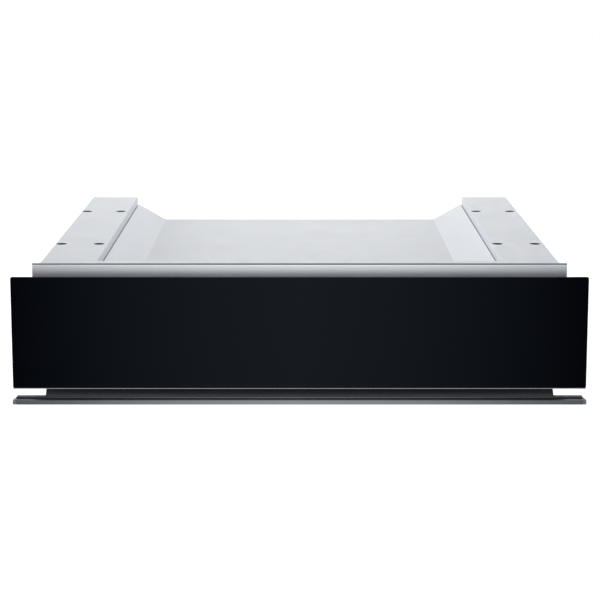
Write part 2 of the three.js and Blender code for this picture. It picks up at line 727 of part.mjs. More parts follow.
function addRunners() {
  const LIP_SETBACK = 2.3; // lips of the outer and middle members stop this far from the drawer
  const CAGE_PLAY = 0.25;
  const outerWeb = [runnerOuter - RUNNER_SHEET, runnerOuter];
  const middleOuterFace = outerWeb[0] - CAGE_SHEET - 2 * CAGE_PLAY;
  const middleWeb = [middleOuterFace - RUNNER_SHEET, middleOuterFace];
  const innerWeb = [runnerInner, runnerInner + RUNNER_SHEET];
  const outerInside = RUNNER_HEIGHT - 2 * RUNNER_SHEET;
  const middleHeight = outerInside - 2 * (OUTER_BALL + 2 * BALL_PLAY);
  const middleInside = middleHeight - 2 * RUNNER_SHEET;
  const innerHeight = middleInside - 2 * (INNER_BALL + 2 * BALL_PLAY);
  const innerCageWeb = middleWeb[0] - CAGE_PLAY;

  for (const [name, side] of SIDES) {
    const fullLength = [runnerFront, runnerRear];
    const outer = channel(side, outerWeb, runnerInner + LIP_SETBACK, RUNNER_HEIGHT, fullLength);
    addPiece(`${name}_outer_runner`, outer, zincedSteel);

    const middle = channel(side, middleWeb, runnerInner + LIP_SETBACK + 1, middleHeight, [
      runnerFront,
      runnerRear - MIDDLE_SHORTER,
    ]);
    addPiece(`${name}_middle_runner`, middle, zincedSteel);

    const inner = channel(side, innerWeb, innerCageWeb - CAGE_SHEET - 2, innerHeight, fullLength);
    addPiece(`${name}_inner_runner`, inner, zincedSteel);

    const cageFront = runnerFront + drawerTravel / 4 + 1;
    const cages = [
      ["outer", OUTER_BALL, [outerWeb[0] - CAGE_PLAY - CAGE_SHEET, outerWeb[0] - CAGE_PLAY], outerInside],
      ["inner", INNER_BALL, [innerCageWeb - CAGE_SHEET, innerCageWeb], middleInside],
    ];
    for (const [place, ball, web, inside] of cages) {
      const rowZ = inside / 2 - BALL_PLAY - ball / 2;
      const ballX = web[0] - ball / 2 - 1;
      const cageHeight = 2 * rowZ + CAGE_SHEET;
      const strip = channel(side, web, ballX - ball / 4, cageHeight, [cageFront, cageFront + CAGE_LENGTH]);
      const pitch = CAGE_LENGTH / BALLS_PER_ROW;
      const balls = [];
      for (const y of row(BALLS_PER_ROW, pitch, cageFront + CAGE_LENGTH / 2)) {
        for (const z of [runnerMidZ - rowZ, runnerMidZ + rowZ]) {
          balls.push(new THREE.OctahedronGeometry(ball / 2).translate(side * ballX, y, z));
        }
      }
      addPiece(`${name}_${place}_ball_cage`, join(strip, ...balls), zincedSteel);
    }
  }
}

// ---------------------------------------------------------------------------------------------------------
// Fan heater behind the drawer
// ---------------------------------------------------------------------------------------------------------
function addFanHeater() {
  const SLOT_WIDTH = 5;
  const SLOT_PITCH = 11;
  const INLET_SLOTS = 5;
  const INLET_HEIGHT = 44;
  const OUTLET_SLOTS = 8;
  const OUTLET_HEIGHT = 36;
  const OUTLET_FROM_SIDE = 93.4;
  const halfWidth = innerHalf - SHEET - GAP;
  const partition = block(
    [-halfWidth, halfWidth],
    [partitionFront, partitionBack],
    [panTop + PARTITION_FLOOR_GAP, valleyTop - SHEET - PARTITION_FLOOR_GAP],
  );
  const outletX = innerHalf - OUTLET_FROM_SIDE;
  const slots = [
    ...row(INLET_SLOTS, SLOT_PITCH).map((x) => [x, INLET_HEIGHT]),
    ...row(OUTLET_SLOTS, SLOT_PITCH, -outletX).map((x) => [x, OUTLET_HEIGHT]),
    ...row(OUTLET_SLOTS, SLOT_PITCH, outletX).map((x) => [x, OUTLET_HEIGHT]),
  ].map(([x, height]) =>
    block(
      [x - SLOT_WIDTH / 2, x + SLOT_WIDTH / 2],
      [partitionFront - 1, partitionBack + 1],
      [fanZ - height / 2, fanZ + height / 2],
    ),
  );
  const loomNotch = block(
    [loomX - LOOM_RADIUS - 3, halfWidth + 1],
    [partitionFront - 1, partitionBack + 1],
    [loomZ - LOOM_RADIUS - 3, loomZ + LOOM_RADIUS + 3],
  );
  const through = [partitionFront - 1, partitionBack + 1];
  const plungerHole = rod("y", PLUNGER_RADIUS + GAP, through, [latchX, fanZ], 20);
  addPiece("rear_partition", cut(partition, ...slots, loomNotch, plungerHole), galvanised);

  const line = [
    [chamberFront, chamberTop],
    [chamberBack, chamberTop],
    [chamberBack, chamberBottom],
    [chamberFront, chamberBottom],
  ];
  const chamber = extrude(foldedSheet(line, SHEET), "x", [-FAN_CHAMBER_WIDTH / 2, FAN_CHAMBER_WIDTH / 2]);
  const throughBack = [chamberBack - 2 * SHEET, chamberBack + SHEET];
  const legZ = fanZ - heaterRadius;
  const backHoles = [
    rod("y", SHAFT_RADIUS + 1, throughBack, [0, fanZ], 20),
    ...[-HEATER_LEG_X, HEATER_LEG_X].map((x) => rod("y", HEATER_TUBE + 0.8, throughBack, [x, legZ], 20)),
  ];
  addPiece("fan_housing", cut(chamber, ...backHoles), galvanised);

  const motorFront = chamberBack + GAP;
  const bodyFront = motorFront + MOTOR_BOSS_LENGTH;
  const shaftBore = SHAFT_RADIUS + GAP;
  const boreEnd = bodyFront + MOTOR_LENGTH / 2;
  const motor = turnedAlongY(
    [
      [0, bodyFront + MOTOR_LENGTH],
      [MOTOR_RADIUS, bodyFront + MOTOR_LENGTH],
      [MOTOR_RADIUS, bodyFront],
      [MOTOR_BOSS_RADIUS, bodyFront],
      [MOTOR_BOSS_RADIUS, motorFront],
      [shaftBore, motorFront],
      [shaftBore, boreEnd],
      [0, boreEnd],
    ].reverse(),
    [0, fanZ],
    24,
  );
  addPiece("fan_motor", motor, zincedSteel);

  const hubFront = chamberFront + 3;
  const discBack = hubFront + IMPELLER_DEPTH;
  addPiece("fan_shaft", rod("y", SHAFT_RADIUS, [hubFront + 1, boreEnd - GAP], [0, fanZ], 16), zincedSteel);

  const hub = turnedAlongY(
    [
      [shaftBore, hubFront],
      [HUB_RADIUS, hubFront],
      [HUB_RADIUS, discBack - SHEET],
      [impellerRadius, discBack - SHEET],
      [impellerRadius, discBack],
      [shaftBore, discBack],
      [shaftBore, hubFront],
    ],
    [0, fanZ],
    24,
  );
  const blades = row(IMPELLER_BLADES, (2 * Math.PI) / IMPELLER_BLADES).map((angle) =>
    block(
      [HUB_RADIUS + 8, impellerRadius - 0.5],
      [hubFront, discBack - SHEET / 2],
      [-BLADE_THICKNESS / 2, BLADE_THICKNESS / 2],
    )
      .rotateY(angle)
      .translate(0, 0, fanZ),
  );
  addPiece("fan_impeller", join(hub, ...blades), zincedSteel);

  // One turn of tubular heater around the impeller, open at the bottom, with both ends led to the back.
  const ringY = (hubFront + discBack) / 2;
  const legEnd = chamberBack + HEATER_LEG_REACH;
  const openAngle = Math.asin(HEATER_LEG_X / heaterRadius) + 0.08;
  const RING_POINTS = 14;
  const ring = Array.from({ length: RING_POINTS + 1 }, (_, i) => {
    const angle = -Math.PI / 2 + openAngle + ((2 * Math.PI - 2 * openAngle) * i) / RING_POINTS;
    return [heaterRadius * Math.cos(angle), ringY, fanZ + heaterRadius * Math.sin(angle)];
  });
  const leg = (side) => [
    [side * HEATER_LEG_X, legEnd, legZ],
    [side * HEATER_LEG_X, chamberBack - 2, legZ],
    [side * HEATER_LEG_X, ringY + 5, legZ],
  ];
  const heater = tubeAlong([...leg(1), ...ring, ...leg(-1).reverse()], HEATER_TUBE, 48);
  addPiece("heating_element", heater, heaterSteel);

  const LIMITER_RADIUS = 8;
  const LIMITER_LENGTH = 7;
  const LIMITER_RISE = 24; // above the fan
  const LUG_SPACING = 8;
  const LUG_WIDTH = 3;
  const LUG_LENGTH = 6;
  const LUG_THICKNESS = 0.8;
  const limiterX = FAN_CHAMBER_WIDTH / 2 - 2 * LIMITER_RADIUS;
  const limiterZ = fanZ + LIMITER_RISE;
  const limiterBack = motorFront + LIMITER_LENGTH;
  const limiter = rod("y", LIMITER_RADIUS, [motorFront, limiterBack], [limiterX, limiterZ], 24);
  const lugs = row(2, LUG_SPACING, limiterX).map((x) =>
    block(
      [x - LUG_WIDTH / 2, x + LUG_WIDTH / 2],
      [limiterBack - SHEET, limiterBack + LUG_LENGTH],
      [limiterZ - LUG_THICKNESS / 2, limiterZ + LUG_THICKNESS / 2],
    ),
  );
  addPiece("thermal_limiter", join(limiter, ...lugs), whitePlastic);
}

// A touch latch: its plunger meets the drawer's back, and pressing the glass front releases the drawer.
function addPushLatch() {
  const front = partitionBack + GAP;
  const body = block(
    [latchX - LATCH_WIDTH / 2, latchX + LATCH_WIDTH / 2],
    [front, front + LATCH_DEPTH],
    [fanZ - LATCH_HEIGHT / 2, fanZ + LATCH_HEIGHT / 2],
  );
  const plungerEnd = front + PLUNGER_IN_BODY;
  const boreEnd = plungerEnd + LATCH_TRAVEL + GAP;
  const bore = rod("y", PLUNGER_RADIUS + GAP, [front - 1, boreEnd], [latchX, fanZ], 20);
  addPiece("push_latch_body", cut(body, bore), greyPlastic);
  const plunger = rod("y", PLUNGER_RADIUS, [drawerRear + GAP, plungerEnd], [latchX, fanZ], 20);
  addPiece("push_latch_plunger", plunger, whitePlastic);
}

// ---------------------------------------------------------------------------------------------------------
// Electrics
// ---------------------------------------------------------------------------------------------------------
function addElectrics() {
  const BOX_HEIGHT = 40;
  const BOX_WALL = 2;
  const BOX_FROM_SIDE = 8;
  const BOX_FROM_LATCH = 14.4;
  const BOX_FROM_PARTITION = 6;
  const BOX_FROM_BACK = 8;
  const LID_THICKNESS = 2.5;
  const BOARD_THICKNESS = 1.6;
  const BOARD_MARGIN = 2;
  const RELAY_INSET = 8; // from the left and from the front of the board
  const RELAY_WIDTH = 18;
  const RELAY_DEPTH = 28;
  const RELAY_HEIGHT = 16;
  const TRANSFORMER_INSET = 7; // from the right and from the front of the board
  const TRANSFORMER_SIZE = 32;
  const TRANSFORMER_HEIGHT = 24;
  const CAPACITOR_FROM_LEFT = 48;
  const CAPACITOR_FROM_FRONT = 20;
  const CAPACITOR_RADIUS = 6;
  const CAPACITOR_HEIGHT = 20;
  const shrink = ([a, b], by) => [a + by, b - by];
  const boxX = [latchX + LATCH_WIDTH / 2 + BOX_FROM_LATCH, innerHalf - BOX_FROM_SIDE];
  const boxY = [partitionBack + BOX_FROM_PARTITION, caseRear - SHEET - BOX_FROM_BACK];
  const boxZ = [panTop + GAP, panTop + GAP + BOX_HEIGHT];
  const shell = block(boxX, boxY, boxZ);
  const inside = block(shrink(boxX, BOX_WALL), shrink(boxY, BOX_WALL), [boxZ[0] + BOX_WALL, boxZ[1] + 1]);
  addPiece("control_box", cut(shell, inside), greyPlastic);
  const lidTop = boxZ[1] + GAP + LID_THICKNESS;
  addPiece("control_box_lid", block(boxX, boxY, [boxZ[1] + GAP, lidTop]), greyPlastic);

  const boardX = shrink(boxX, BOX_WALL + BOARD_MARGIN);
  const boardY = shrink(boxY, BOX_WALL + BOARD_MARGIN);
  const boardBottom = boxZ[0] + BOX_WALL + GAP;
  const boardTop = boardBottom + BOARD_THICKNESS;
  const onBoard = (height) => [boardBottom, boardTop + height];
  const relayX = boardX[0] + RELAY_INSET;
  const relayY = boardY[0] + RELAY_INSET;
  const transformerX = boardX[1] - TRANSFORMER_INSET;
  const transformerY = boardY[0] + TRANSFORMER_INSET;
  const capacitorAt = [boardX[0] + CAPACITOR_FROM_LEFT, boardY[0] + CAPACITOR_FROM_FRONT];
  const board = join(
    block(boardX, boardY, [boardBottom, boardTop]),
    block([relayX, relayX + RELAY_WIDTH], [relayY, relayY + RELAY_DEPTH], onBoard(RELAY_HEIGHT)),
    block(
      [transformerX - TRANSFORMER_SIZE, transformerX],
      [transformerY, transformerY + TRANSFORMER_SIZE],
      onBoard(TRANSFORMER_HEIGHT),
    ),
    rod("z", CAPACITOR_RADIUS, onBoard(CAPACITOR_HEIGHT), capacitorAt, 16),
  );
  addPiece("control_board", board, circuitGreen);

  // Mains terminals and the bush for the supply cable, which isn't part of the object.
  const BLOCK_WIDTH = 44;
  const BLOCK_DEPTH = 24;
  const BLOCK_HEIGHT = 18;
  const BLOCK_FROM_INLET = 12;
  const BLOCK_FROM_BACK = 16;
  const TERMINALS = 3;
  const WELL_RADIUS = 4;
  const WELL_DEPTH = 6;
  const blockMiddle = -inletX + BLOCK_FROM_INLET;
  const blockX = [blockMiddle - BLOCK_WIDTH / 2, blockMiddle + BLOCK_WIDTH / 2];
  const blockRear = caseRear - SHEET - BLOCK_FROM_BACK;
  const blockY = [blockRear - BLOCK_DEPTH, blockRear];
  const blockZ = [panTop + GAP, panTop + GAP + BLOCK_HEIGHT];
  const screwWells = row(TERMINALS, BLOCK_WIDTH / TERMINALS, blockMiddle).map((x) =>
    rod("z", WELL_RADIUS, [blockZ[1] - WELL_DEPTH, blockZ[1] + 1], [x, blockRear - BLOCK_DEPTH / 2], 16),
  );
  addPiece("terminal_block", cut(block(blockX, blockY, blockZ), ...screwWells), whitePlastic);

  const BUSH_FLANGE = 2;
  const BUSH_BORE = 5;
  const waist = INLET_RADIUS - GAP;
  const bushFront = caseRear - SHEET - GAP;
  const bush = turnedAlongY(
    [
      [BUSH_BORE, bushFront - BUSH_FLANGE],
      [INLET_RADIUS + BUSH_FLANGE, bushFront - BUSH_FLANGE],
      [INLET_RADIUS + BUSH_FLANGE, bushFront],
      [waist, bushFront],
      [waist, caseRear],
      [BUSH_BORE, caseRear],
      [BUSH_BORE, bushFront - BUSH_FLANGE],
    ],
    [-inletX, inletZ],
    24,
  );
  addPiece("cable_bush", bush, rubber);

  // Wiring: from the terminals to the control box, on to the motor, and forward to the front controls.
  const terminalZ = blockZ[0] + LOOM_RADIUS + 5;
  const behind = partitionBack + 3 + LOOM_RADIUS;
  const mainsLoom = [
    [blockX[1] + GAP, (blockY[0] + blockY[1]) / 2, terminalZ],
    [blockX[1] + 18, (blockY[0] + blockY[1]) / 2, terminalZ],
    [blockX[1] + 60, blockY[0] + 18, terminalZ - 3],
    [-20, caseRear - SHEET - 9, terminalZ - 4],
    [60, caseRear - SHEET - 12, terminalZ - 3],
    [boxX[0] - 26, (boxY[0] + boxY[1]) / 2 + 4, terminalZ],
    [boxX[0] - 8, (boxY[0] + boxY[1]) / 2, terminalZ],
    [boxX[0] - GAP, (boxY[0] + boxY[1]) / 2, terminalZ],
  ];
  addPiece("mains_loom", tubeAlong(mainsLoom, LOOM_RADIUS, 26), blackPlastic);

  const FAN_LOOM_LIFT = 24; // where it meets the control box, above the box's floor
  const LOOM_STRAIGHT = 8; // straight out of what it is plugged into
  const FAN_LOOM_DROP = 16;
  const motorMiddle = chamberBack + GAP + MOTOR_BOSS_LENGTH + MOTOR_LENGTH / 2;
  const motorSide = MOTOR_RADIUS + GAP;
  const fanLoomEnd = boxX[0] - GAP;
  const fanLoomZ = boxZ[0] + FAN_LOOM_LIFT;
  const fanLoom = [
    [motorSide, motorMiddle, fanZ],
    [motorSide + LOOM_STRAIGHT, motorMiddle, fanZ],
    [motorSide + 4 * LOOM_STRAIGHT, motorMiddle, fanZ - FAN_LOOM_DROP],
    [fanLoomEnd - 3 * LOOM_STRAIGHT, motorMiddle, fanLoomZ],
    [fanLoomEnd - LOOM_STRAIGHT, motorMiddle, fanLoomZ],
    [fanLoomEnd, motorMiddle, fanLoomZ],
  ];
  addPiece("fan_loom", tubeAlong(fanLoom, LOOM_RADIUS, 16), blackPlastic);

  const thermostatBack = caseFront + THERMOSTAT_DEPTH;
  const frontLoom = [
    [boxX[1] - 20, behind + 20, lidTop + GAP],
    [boxX[1] - 20, behind + 20, lidTop + 12],
    [boxX[1] - 8, behind + 8, loomZ - 4],
    [loomX, partitionBack, loomZ],
    [loomX, partitionFront - 30, loomZ],
    [loomX, 60, loomZ],
    [loomX, -100, loomZ],
    [loomX, -140, loomZ + 4],
    [loomX - 1, -165, controlZ - 5],
    [knobX + 22, -185, controlZ],
    [knobX + 8, thermostatBack + 22, controlZ],
    [knobX + 8, thermostatBack + 10, controlZ],
    [knobX + 8, thermostatBack + GAP, controlZ],
  ];
  addPiece("front_loom", tubeAlong(frontLoom, LOOM_RADIUS, 44), blackPlastic);
}

// ---------------------------------------------------------------------------------------------------------
// Controls
// ---------------------------------------------------------------------------------------------------------
function addControls() {
  const THERMOSTAT_WIDTH = 28;
  const THERMOSTAT_HEIGHT = 16;
  const SWITCH_SIZE = 12;
  const SWITCH_DEPTH = 18;
  const lensHole = rod("y", LENS_RADIUS + GAP, [fasciaFront - 1, fasciaBack + 1], [lensX, controlZ], 20);
  const fascia = cut(
    block(fasciaX, [fasciaFront, fasciaBack], fasciaZ),
    ...controlHoles(fasciaFront - 1, fasciaBack + 1),
    lensHole,
  );
  addPiece("control_fascia", fascia, blackPlastic);
  const LENS_PROUD = 0.5;
  const lens = rod("y", LENS_RADIUS, [fasciaFront - LENS_PROUD, fasciaBack], [lensX, controlZ], 20);
  addPiece("indicator_lens", lens, amber);

  const knobBack = fasciaFront - GAP;
  const knob = rod("y", KNOB_RADIUS, [knobBack - KNOB_DEPTH, knobBack], [knobX, controlZ], 28);
  const shaft = rod("y", KNOB_SHAFT_RADIUS, [knobBack - 1, caseFront - GAP], [knobX, controlZ], 20);
  const grip = block([knobX - 1.2, knobX + 1.2], [knobBack - KNOB_DEPTH - 1, knobBack - 3], [
    controlZ,
    controlZ + KNOB_RADIUS + 0.6,
  ]);
  addPiece("thermostat_knob", join(knob, shaft, grip), blackPlastic);
  const thermostatX = [knobX - THERMOSTAT_WIDTH / 2, knobX + THERMOSTAT_WIDTH / 2];
  const thermostat = block(
    thermostatX,
    [caseFront, caseFront + THERMOSTAT_DEPTH],
    [controlZ - THERMOSTAT_HEIGHT / 2, controlZ + THERMOSTAT_HEIGHT / 2],
  );
  addPiece("thermostat_body", thermostat, whitePlastic);

  const buttonRear = caseFront - GAP - BUTTON_TRAVEL;
  const button = rod("y", BUTTON_RADIUS, [fasciaFront - BUTTON_PROUD, buttonRear], [buttonX, controlZ], 24);
  addPiece("power_button", button, greyPlastic);
  const switchBody = block(
    [buttonX - SWITCH_SIZE / 2, buttonX + SWITCH_SIZE / 2],
    [caseFront, caseFront + SWITCH_DEPTH],
    [controlZ - SWITCH_SIZE / 2, controlZ + SWITCH_SIZE / 2],
  );
  addPiece("power_switch_body", switchBody, whitePlastic);
}

addBottomPan();
addSideWalls();
addTopCover();
addSupportRails();
addBackPanel();
addFeet();
addBulkheadAndFrame();
addLowerTrim();
addDrawerFront();
addDrawerBox();
addRunners();
addFanHeater();
addPushLatch();
addElectrics();
addControls();

export default part;
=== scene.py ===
# %% [markdown]
# # A built-in warming drawer
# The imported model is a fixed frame: each of its nodes already has its place in metres, with +X to the right,
# +Y towards the back and +Z up. This lesson dresses that frame. It models a finer piece for every node, adds
# the small parts that the frame leaves out, and gives each piece its finish.

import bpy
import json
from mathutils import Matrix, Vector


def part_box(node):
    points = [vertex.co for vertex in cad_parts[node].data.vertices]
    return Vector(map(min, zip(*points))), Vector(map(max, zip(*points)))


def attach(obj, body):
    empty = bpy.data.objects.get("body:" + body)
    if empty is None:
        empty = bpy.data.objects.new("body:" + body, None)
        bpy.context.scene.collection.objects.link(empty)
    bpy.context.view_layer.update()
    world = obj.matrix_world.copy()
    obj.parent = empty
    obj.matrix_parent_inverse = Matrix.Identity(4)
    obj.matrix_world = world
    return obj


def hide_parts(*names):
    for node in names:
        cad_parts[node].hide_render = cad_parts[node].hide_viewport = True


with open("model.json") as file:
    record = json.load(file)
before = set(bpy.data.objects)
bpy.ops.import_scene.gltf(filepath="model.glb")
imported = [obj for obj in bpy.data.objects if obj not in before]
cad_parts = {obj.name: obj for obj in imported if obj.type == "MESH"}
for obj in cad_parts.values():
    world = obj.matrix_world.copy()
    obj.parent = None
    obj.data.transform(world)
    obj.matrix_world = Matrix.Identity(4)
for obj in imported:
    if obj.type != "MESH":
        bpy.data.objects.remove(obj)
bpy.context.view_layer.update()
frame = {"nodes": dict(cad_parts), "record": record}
nodes = frame["nodes"]

# %% The modules that the lesson uses
import json
import math

import bmesh
import bpy
from mathutils import Matrix, Vector

MM = 0.001
bpy.ops.object.select_all(action="DESELECT")

# %% [markdown]
# ## The camera
# The photograph is taken from the front and a little above, from more than two metres away with a long lens,
# so the rails on top draw together only slowly. The camera looks down by ten and a half degrees at the
# middle of the drawer.

# %% Camera
CAMERA_AT = (0.00044, -2.20994, 0.47100)
CAMERA_PITCH = 10.539
CAMERA_LENS = 114.846

camera_data = bpy.data.cameras.new("camera")
camera_data.sensor_width = 36
camera_data.lens = CAMERA_LENS
camera = bpy.data.objects.new("camera", camera_data)
camera.location = CAMERA_AT
camera.rotation_euler = (math.radians(90 - CAMERA_PITCH), 0, 0)
bpy.context.scene.collection.objects.link(camera)
bpy.context.scene.camera = camera
print("camera", CAMERA_LENS, "mm")

# %% [markdown]
# ## The floor and the world
# A pale floor and a white world stand in for the studio. What the camera and the metal see of them is white,
# and what lights the object is a plain grey sky, so pale sheet metal doesn't burn out. The floor is a real
# surface under that white, so it keeps the soft shadow below the drawer.


# %% Helpers for node materials
def new_material(name):
    """A node material, with its tree and its shader."""
    material = bpy.data.materials.new(name)
    material.use_nodes = True
    return material, material.node_tree, material.node_tree.nodes["Principled BSDF"]


def add_node(tree, kind, inputs, output=0, **settings):
    """One output of a new shader node. Each of its inputs is a value or the output of another node."""
    node = tree.nodes.new("ShaderNode" + kind)
    for key, value in settings.items():
        setattr(node, key, value)
    for key, value in inputs.items():
        if isinstance(value, bpy.types.NodeSocket):
            tree.links.new(value, node.inputs[key])
        else:
            node.inputs[key].default_value = value
    return node.outputs[output]


def seen_directly(tree):
    """1 for what the camera sees, straight or in metal or glass, and 0 for what only lights the scene."""
    ray = tree.nodes.new("ShaderNodeLightPath").outputs
    first = add_node(tree, "Math", {0: ray["Is Camera Ray"], 1: ray["Is Glossy Ray"]}, operation="MAXIMUM")
    return add_node(tree, "Math", {0: first, 1: ray["Is Transmission Ray"]}, operation="MAXIMUM")


# %% World
SKY_LIGHT = 0.28

world = bpy.data.worlds.new("studio")
bpy.context.scene.world = world
world.use_nodes = True
tree = world.node_tree
sky = tree.nodes["Background"]
sky.inputs["Color"].default_value = (0.985, 0.99, 1.0, 1)
sky.inputs["Strength"].default_value = SKY_LIGHT
white = add_node(tree, "Background", {"Color": (1, 1, 1, 1)})
shown = add_node(tree, "MixShader", {0: seen_directly(tree), 1: sky.outputs[0], 2: white})
tree.links.new(shown, tree.nodes["World Output"].inputs["Surface"])
print("world light", SKY_LIGHT)

# %% Floor
FLOOR_SIZE = 14
FLOOR_HEIGHT = -0.0004  # just under the feet
FLOOR_GREY = (0.62, 0.62, 0.62, 1)
FLOOR_GLOW = 0.85

bpy.ops.mesh.primitive_plane_add(size=FLOOR_SIZE, location=(0, 0, FLOOR_HEIGHT))
floor = bpy.context.object
floor.name = "studio_floor"
material, tree, shader = new_material("floor_white")
for socket, value in (("Base Color", FLOOR_GREY), ("Roughness", 1), ("Specular IOR Level", 0)):
    shader.inputs[socket].default_value = value
level = add_node(tree, "Math", {0: seen_directly(tree), 1: FLOOR_GLOW}, operation="MULTIPLY")
glow = add_node(tree, "Emission", {"Strength": level})
both = add_node(tree, "AddShader", {0: shader.outputs[0], 1: glow})
tree.links.new(both, tree.nodes["Material Output"].inputs["Surface"])
floor.data.materials.append(material)
print("floor", FLOOR_SIZE, "m")


# %% [markdown]
# ## The lamps
# Two large soft lamps stand low on the left and on the right. The left one is the stronger, which is why the
# right slope of the top and the inner side of the right rail are the bright ones. A weak lamp behind makes
# the top lighter towards the back, and the sky fills in the rest.

# %% Lamps
LAMPS = [
    ["key_lamp", (-2.5, -1.1, 0.7), 1.3, 60],
    ["side_lamp", (2.5, -1.1, 0.7), 1.3, 34],
    ["rear_lamp", (0, 1.1, 0.75), 1.0, 4.8],
]
for name, place, size, power in LAMPS:
    lamp_data = bpy.data.lights.new(name, "AREA")
    lamp_data.size = size
    lamp_data.energy = power
    lamp = bpy.data.objects.new(name, lamp_data)
    lamp.location = place
    lamp.rotation_euler = (Vector((0, 0, 0.1)) - Vector(place)).to_track_quat("-Z", "Y").to_euler()
    bpy.context.scene.collection.objects.link(lamp)
print(len(LAMPS), "lamps")

# %% [markdown]
# ## Finishes
# Each finish is a small node tree on Object coordinates, which are metres here, so a mapping of 1000 turns
# them into millimetres and every grain gets its real size. Noise that is stretched along one axis makes
# brush marks, cells make the spangle of galvanised steel, and a fine bump makes the skin of moulded plastic.

# %% Patterns as values
ALONG_X, ALONG_Y = (0.01, 1, 1), (1, 0.01, 1)


def in_mm(tree, stretch=(1, 1, 1)):
    """Object coordinates in millimetres. A stretch below 1 draws a pattern out along that axis."""
    place = add_node(tree, "TexCoord", {}, "Object")
    return add_node(tree, "Mapping", {"Vector": place, "Scale": [1000 * factor for factor in stretch]})


def noise(tree, place, size, detail=2.0):
    """Soft noise from 0 to 1 whose spots are about this many millimetres wide."""
    return add_node(tree, "TexNoise", {"Vector": place, "Scale": 1 / size, "Detail": detail}, "Fac")


def brush_marks(tree, stretch):
    """Fine lines along one axis."""
    return noise(tree, in_mm(tree, stretch), 0.5, 3)


def cells(tree, place, size):
    """A random value from 0 to 1 for each cell of about this many millimetres."""
    colour = add_node(tree, "TexVoronoi", {"Vector": place, "Scale": 1 / size}, "Color")
    return add_node(tree, "SeparateColor", {0: colour})


def blend(tree, first, second, share):
    """A value that is one part the first and, by the share, the second."""
    return add_node(tree, "Mix", {"Factor": share, "A": first, "B": second}, "Result")


# %% Colours and finishes from values
def coloured(tree, value, stops):
    """A colour from a value through [place, colour] stops."""
    ramp = tree.nodes.new("ShaderNodeValToRGB")
    points = ramp.color_ramp.elements
    while len(points) < len(stops):
        points.new(0.5)
    for point, (place, colour) in zip(points, stops):
        point.position = place
        point.color = (*colour, 1)
    tree.links.new(value, ramp.inputs["Fac"])
    return ramp.outputs["Color"]


def shades(colour, contrast):
    """Two stops around a colour, darker and lighter by a share."""
    dark = [channel * (1 - contrast) for channel in colour]
    light = [min(1.0, channel * (1 + contrast)) for channel in colour]
    return [[0.25, dark], [0.75, light]]


FINISH = {}


def surface(name, pattern, rough, depth=0.0, metallic=0.0, gloss=0.5):
    """A finish from a pattern, which gives its colour, the value of its roughness and its relief, if any."""
    material, tree, shader = new_material(name)
    colour, wear, relief = pattern(tree)
    tree.links.new(colour, shader.inputs["Base Color"])
    level = add_node(tree, "MapRange", {"Value": wear, "To Min": rough[0], "To Max": rough[1]})
    tree.links.new(level, shader.inputs["Roughness"])
    if relief:
        bump = add_node(tree, "Bump", {"Height": relief, "Strength": 1.0, "Distance": depth * MM})
        tree.links.new(bump, shader.inputs["Normal"])
    shader.inputs["Metallic"].default_value = metallic
    shader.inputs["Specular IOR Level"].default_value = gloss
    FINISH[name] = material


# %% [markdown]
# ### Galvanised sheet
# The case is bent from zinc-coated sheet. Its zinc froze in flat crystals that reflect a little differently,
# so the cells change both the grey and the roughness, by very little, because skin-passed sheet is nearly
# even.


# %% Galvanised sheet
def galvanised(name, colour, contrast=0.018):
    """Sheet with a faint spangle."""
    def pattern(tree):
        place = in_mm(tree)
        crystals = cells(tree, place, 9)
        shade = blend(tree, crystals, noise(tree, place, 80), 0.5)
        return coloured(tree, shade, shades(colour, contrast)), crystals, noise(tree, place, 0.8)

    surface(name, pattern, (0.5, 0.6), 0.004, metallic=0.1)


galvanised("galvanised_steel", (0.653, 0.677, 0.717))
# A darker grey of the same sheet for the strip above the frame: painted shade at the bulkhead's cut edge.
galvanised("sheet_edge_painted_shade", (0.222, 0.234, 0.247), 0.05)
print("zinc sheet and its cut edge")

# %% [markdown]
# ### Brushed stainless steel
# A belt draws fine lines along the sheet. Noise that is a hundred times longer than wide gives those lines,
# and it drives colour, roughness and bump together, as real scratches do.


# %% Brushed metal
def brushed(name, colour, stretch):
    """Stainless sheet with brush marks along one axis."""
    def pattern(tree):
        lines = brush_marks(tree, stretch)
        shade = blend(tree, lines, noise(tree, in_mm(tree), 90), 0.4)
        return coloured(tree, shade, shades(colour, 0.05)), lines, lines

    surface(name, pattern, (0.28, 0.42), 0.003, metallic=1)


STAINLESS = (0.60, 0.61, 0.625)
brushed("drawer_stainless", STAINLESS, ALONG_X)
brushed("drawer_side_stainless", STAINLESS, ALONG_Y)
print("stainless steel in two directions")

# %% [markdown]
# ### Painted sheens and highlights that follow a place
# A wide front is painted lighter in its middle and darker towards its ends, a painted sheen of a soft light
# in front, and an upper edge is painted brighter, a painted highlight. Both follow a place on the object, so
# a value is drawn from one object coordinate.

# %% Places as values
HALF_FRONT = 298


def along(tree, axis, start, end, both_sides=False):
    """0 at one place on an axis and 1 at another, in millimetres, on one side of the middle or on both."""
    place = add_node(tree, "SeparateXYZ", {0: add_node(tree, "TexCoord", {}, "Object")}, axis)
    if both_sides:
        place = add_node(tree, "Math", {0: place}, operation="ABSOLUTE")
    return add_node(tree, "MapRange", {"Value": place, "From Min": start * MM, "From Max": end * MM})


def from_middle(tree):
    """0 in the middle of the object and 1 at both ends of its front."""
    return along(tree, "X", 0, HALF_FRONT, both_sides=True)


# %% Stainless steel of the front frame
FRAME_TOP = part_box("front_frame")[1][2] / MM
# Painted sheen: the frame's colour is lightest in the middle and darker towards both ends.
FRAME_SHADES = [
    [0.0, (0.685, 0.71, 0.74)],
    [0.33, (0.65, 0.675, 0.705)],
    [0.65, (0.555, 0.58, 0.608)],
    [0.9, (0.457, 0.48, 0.507)],
]
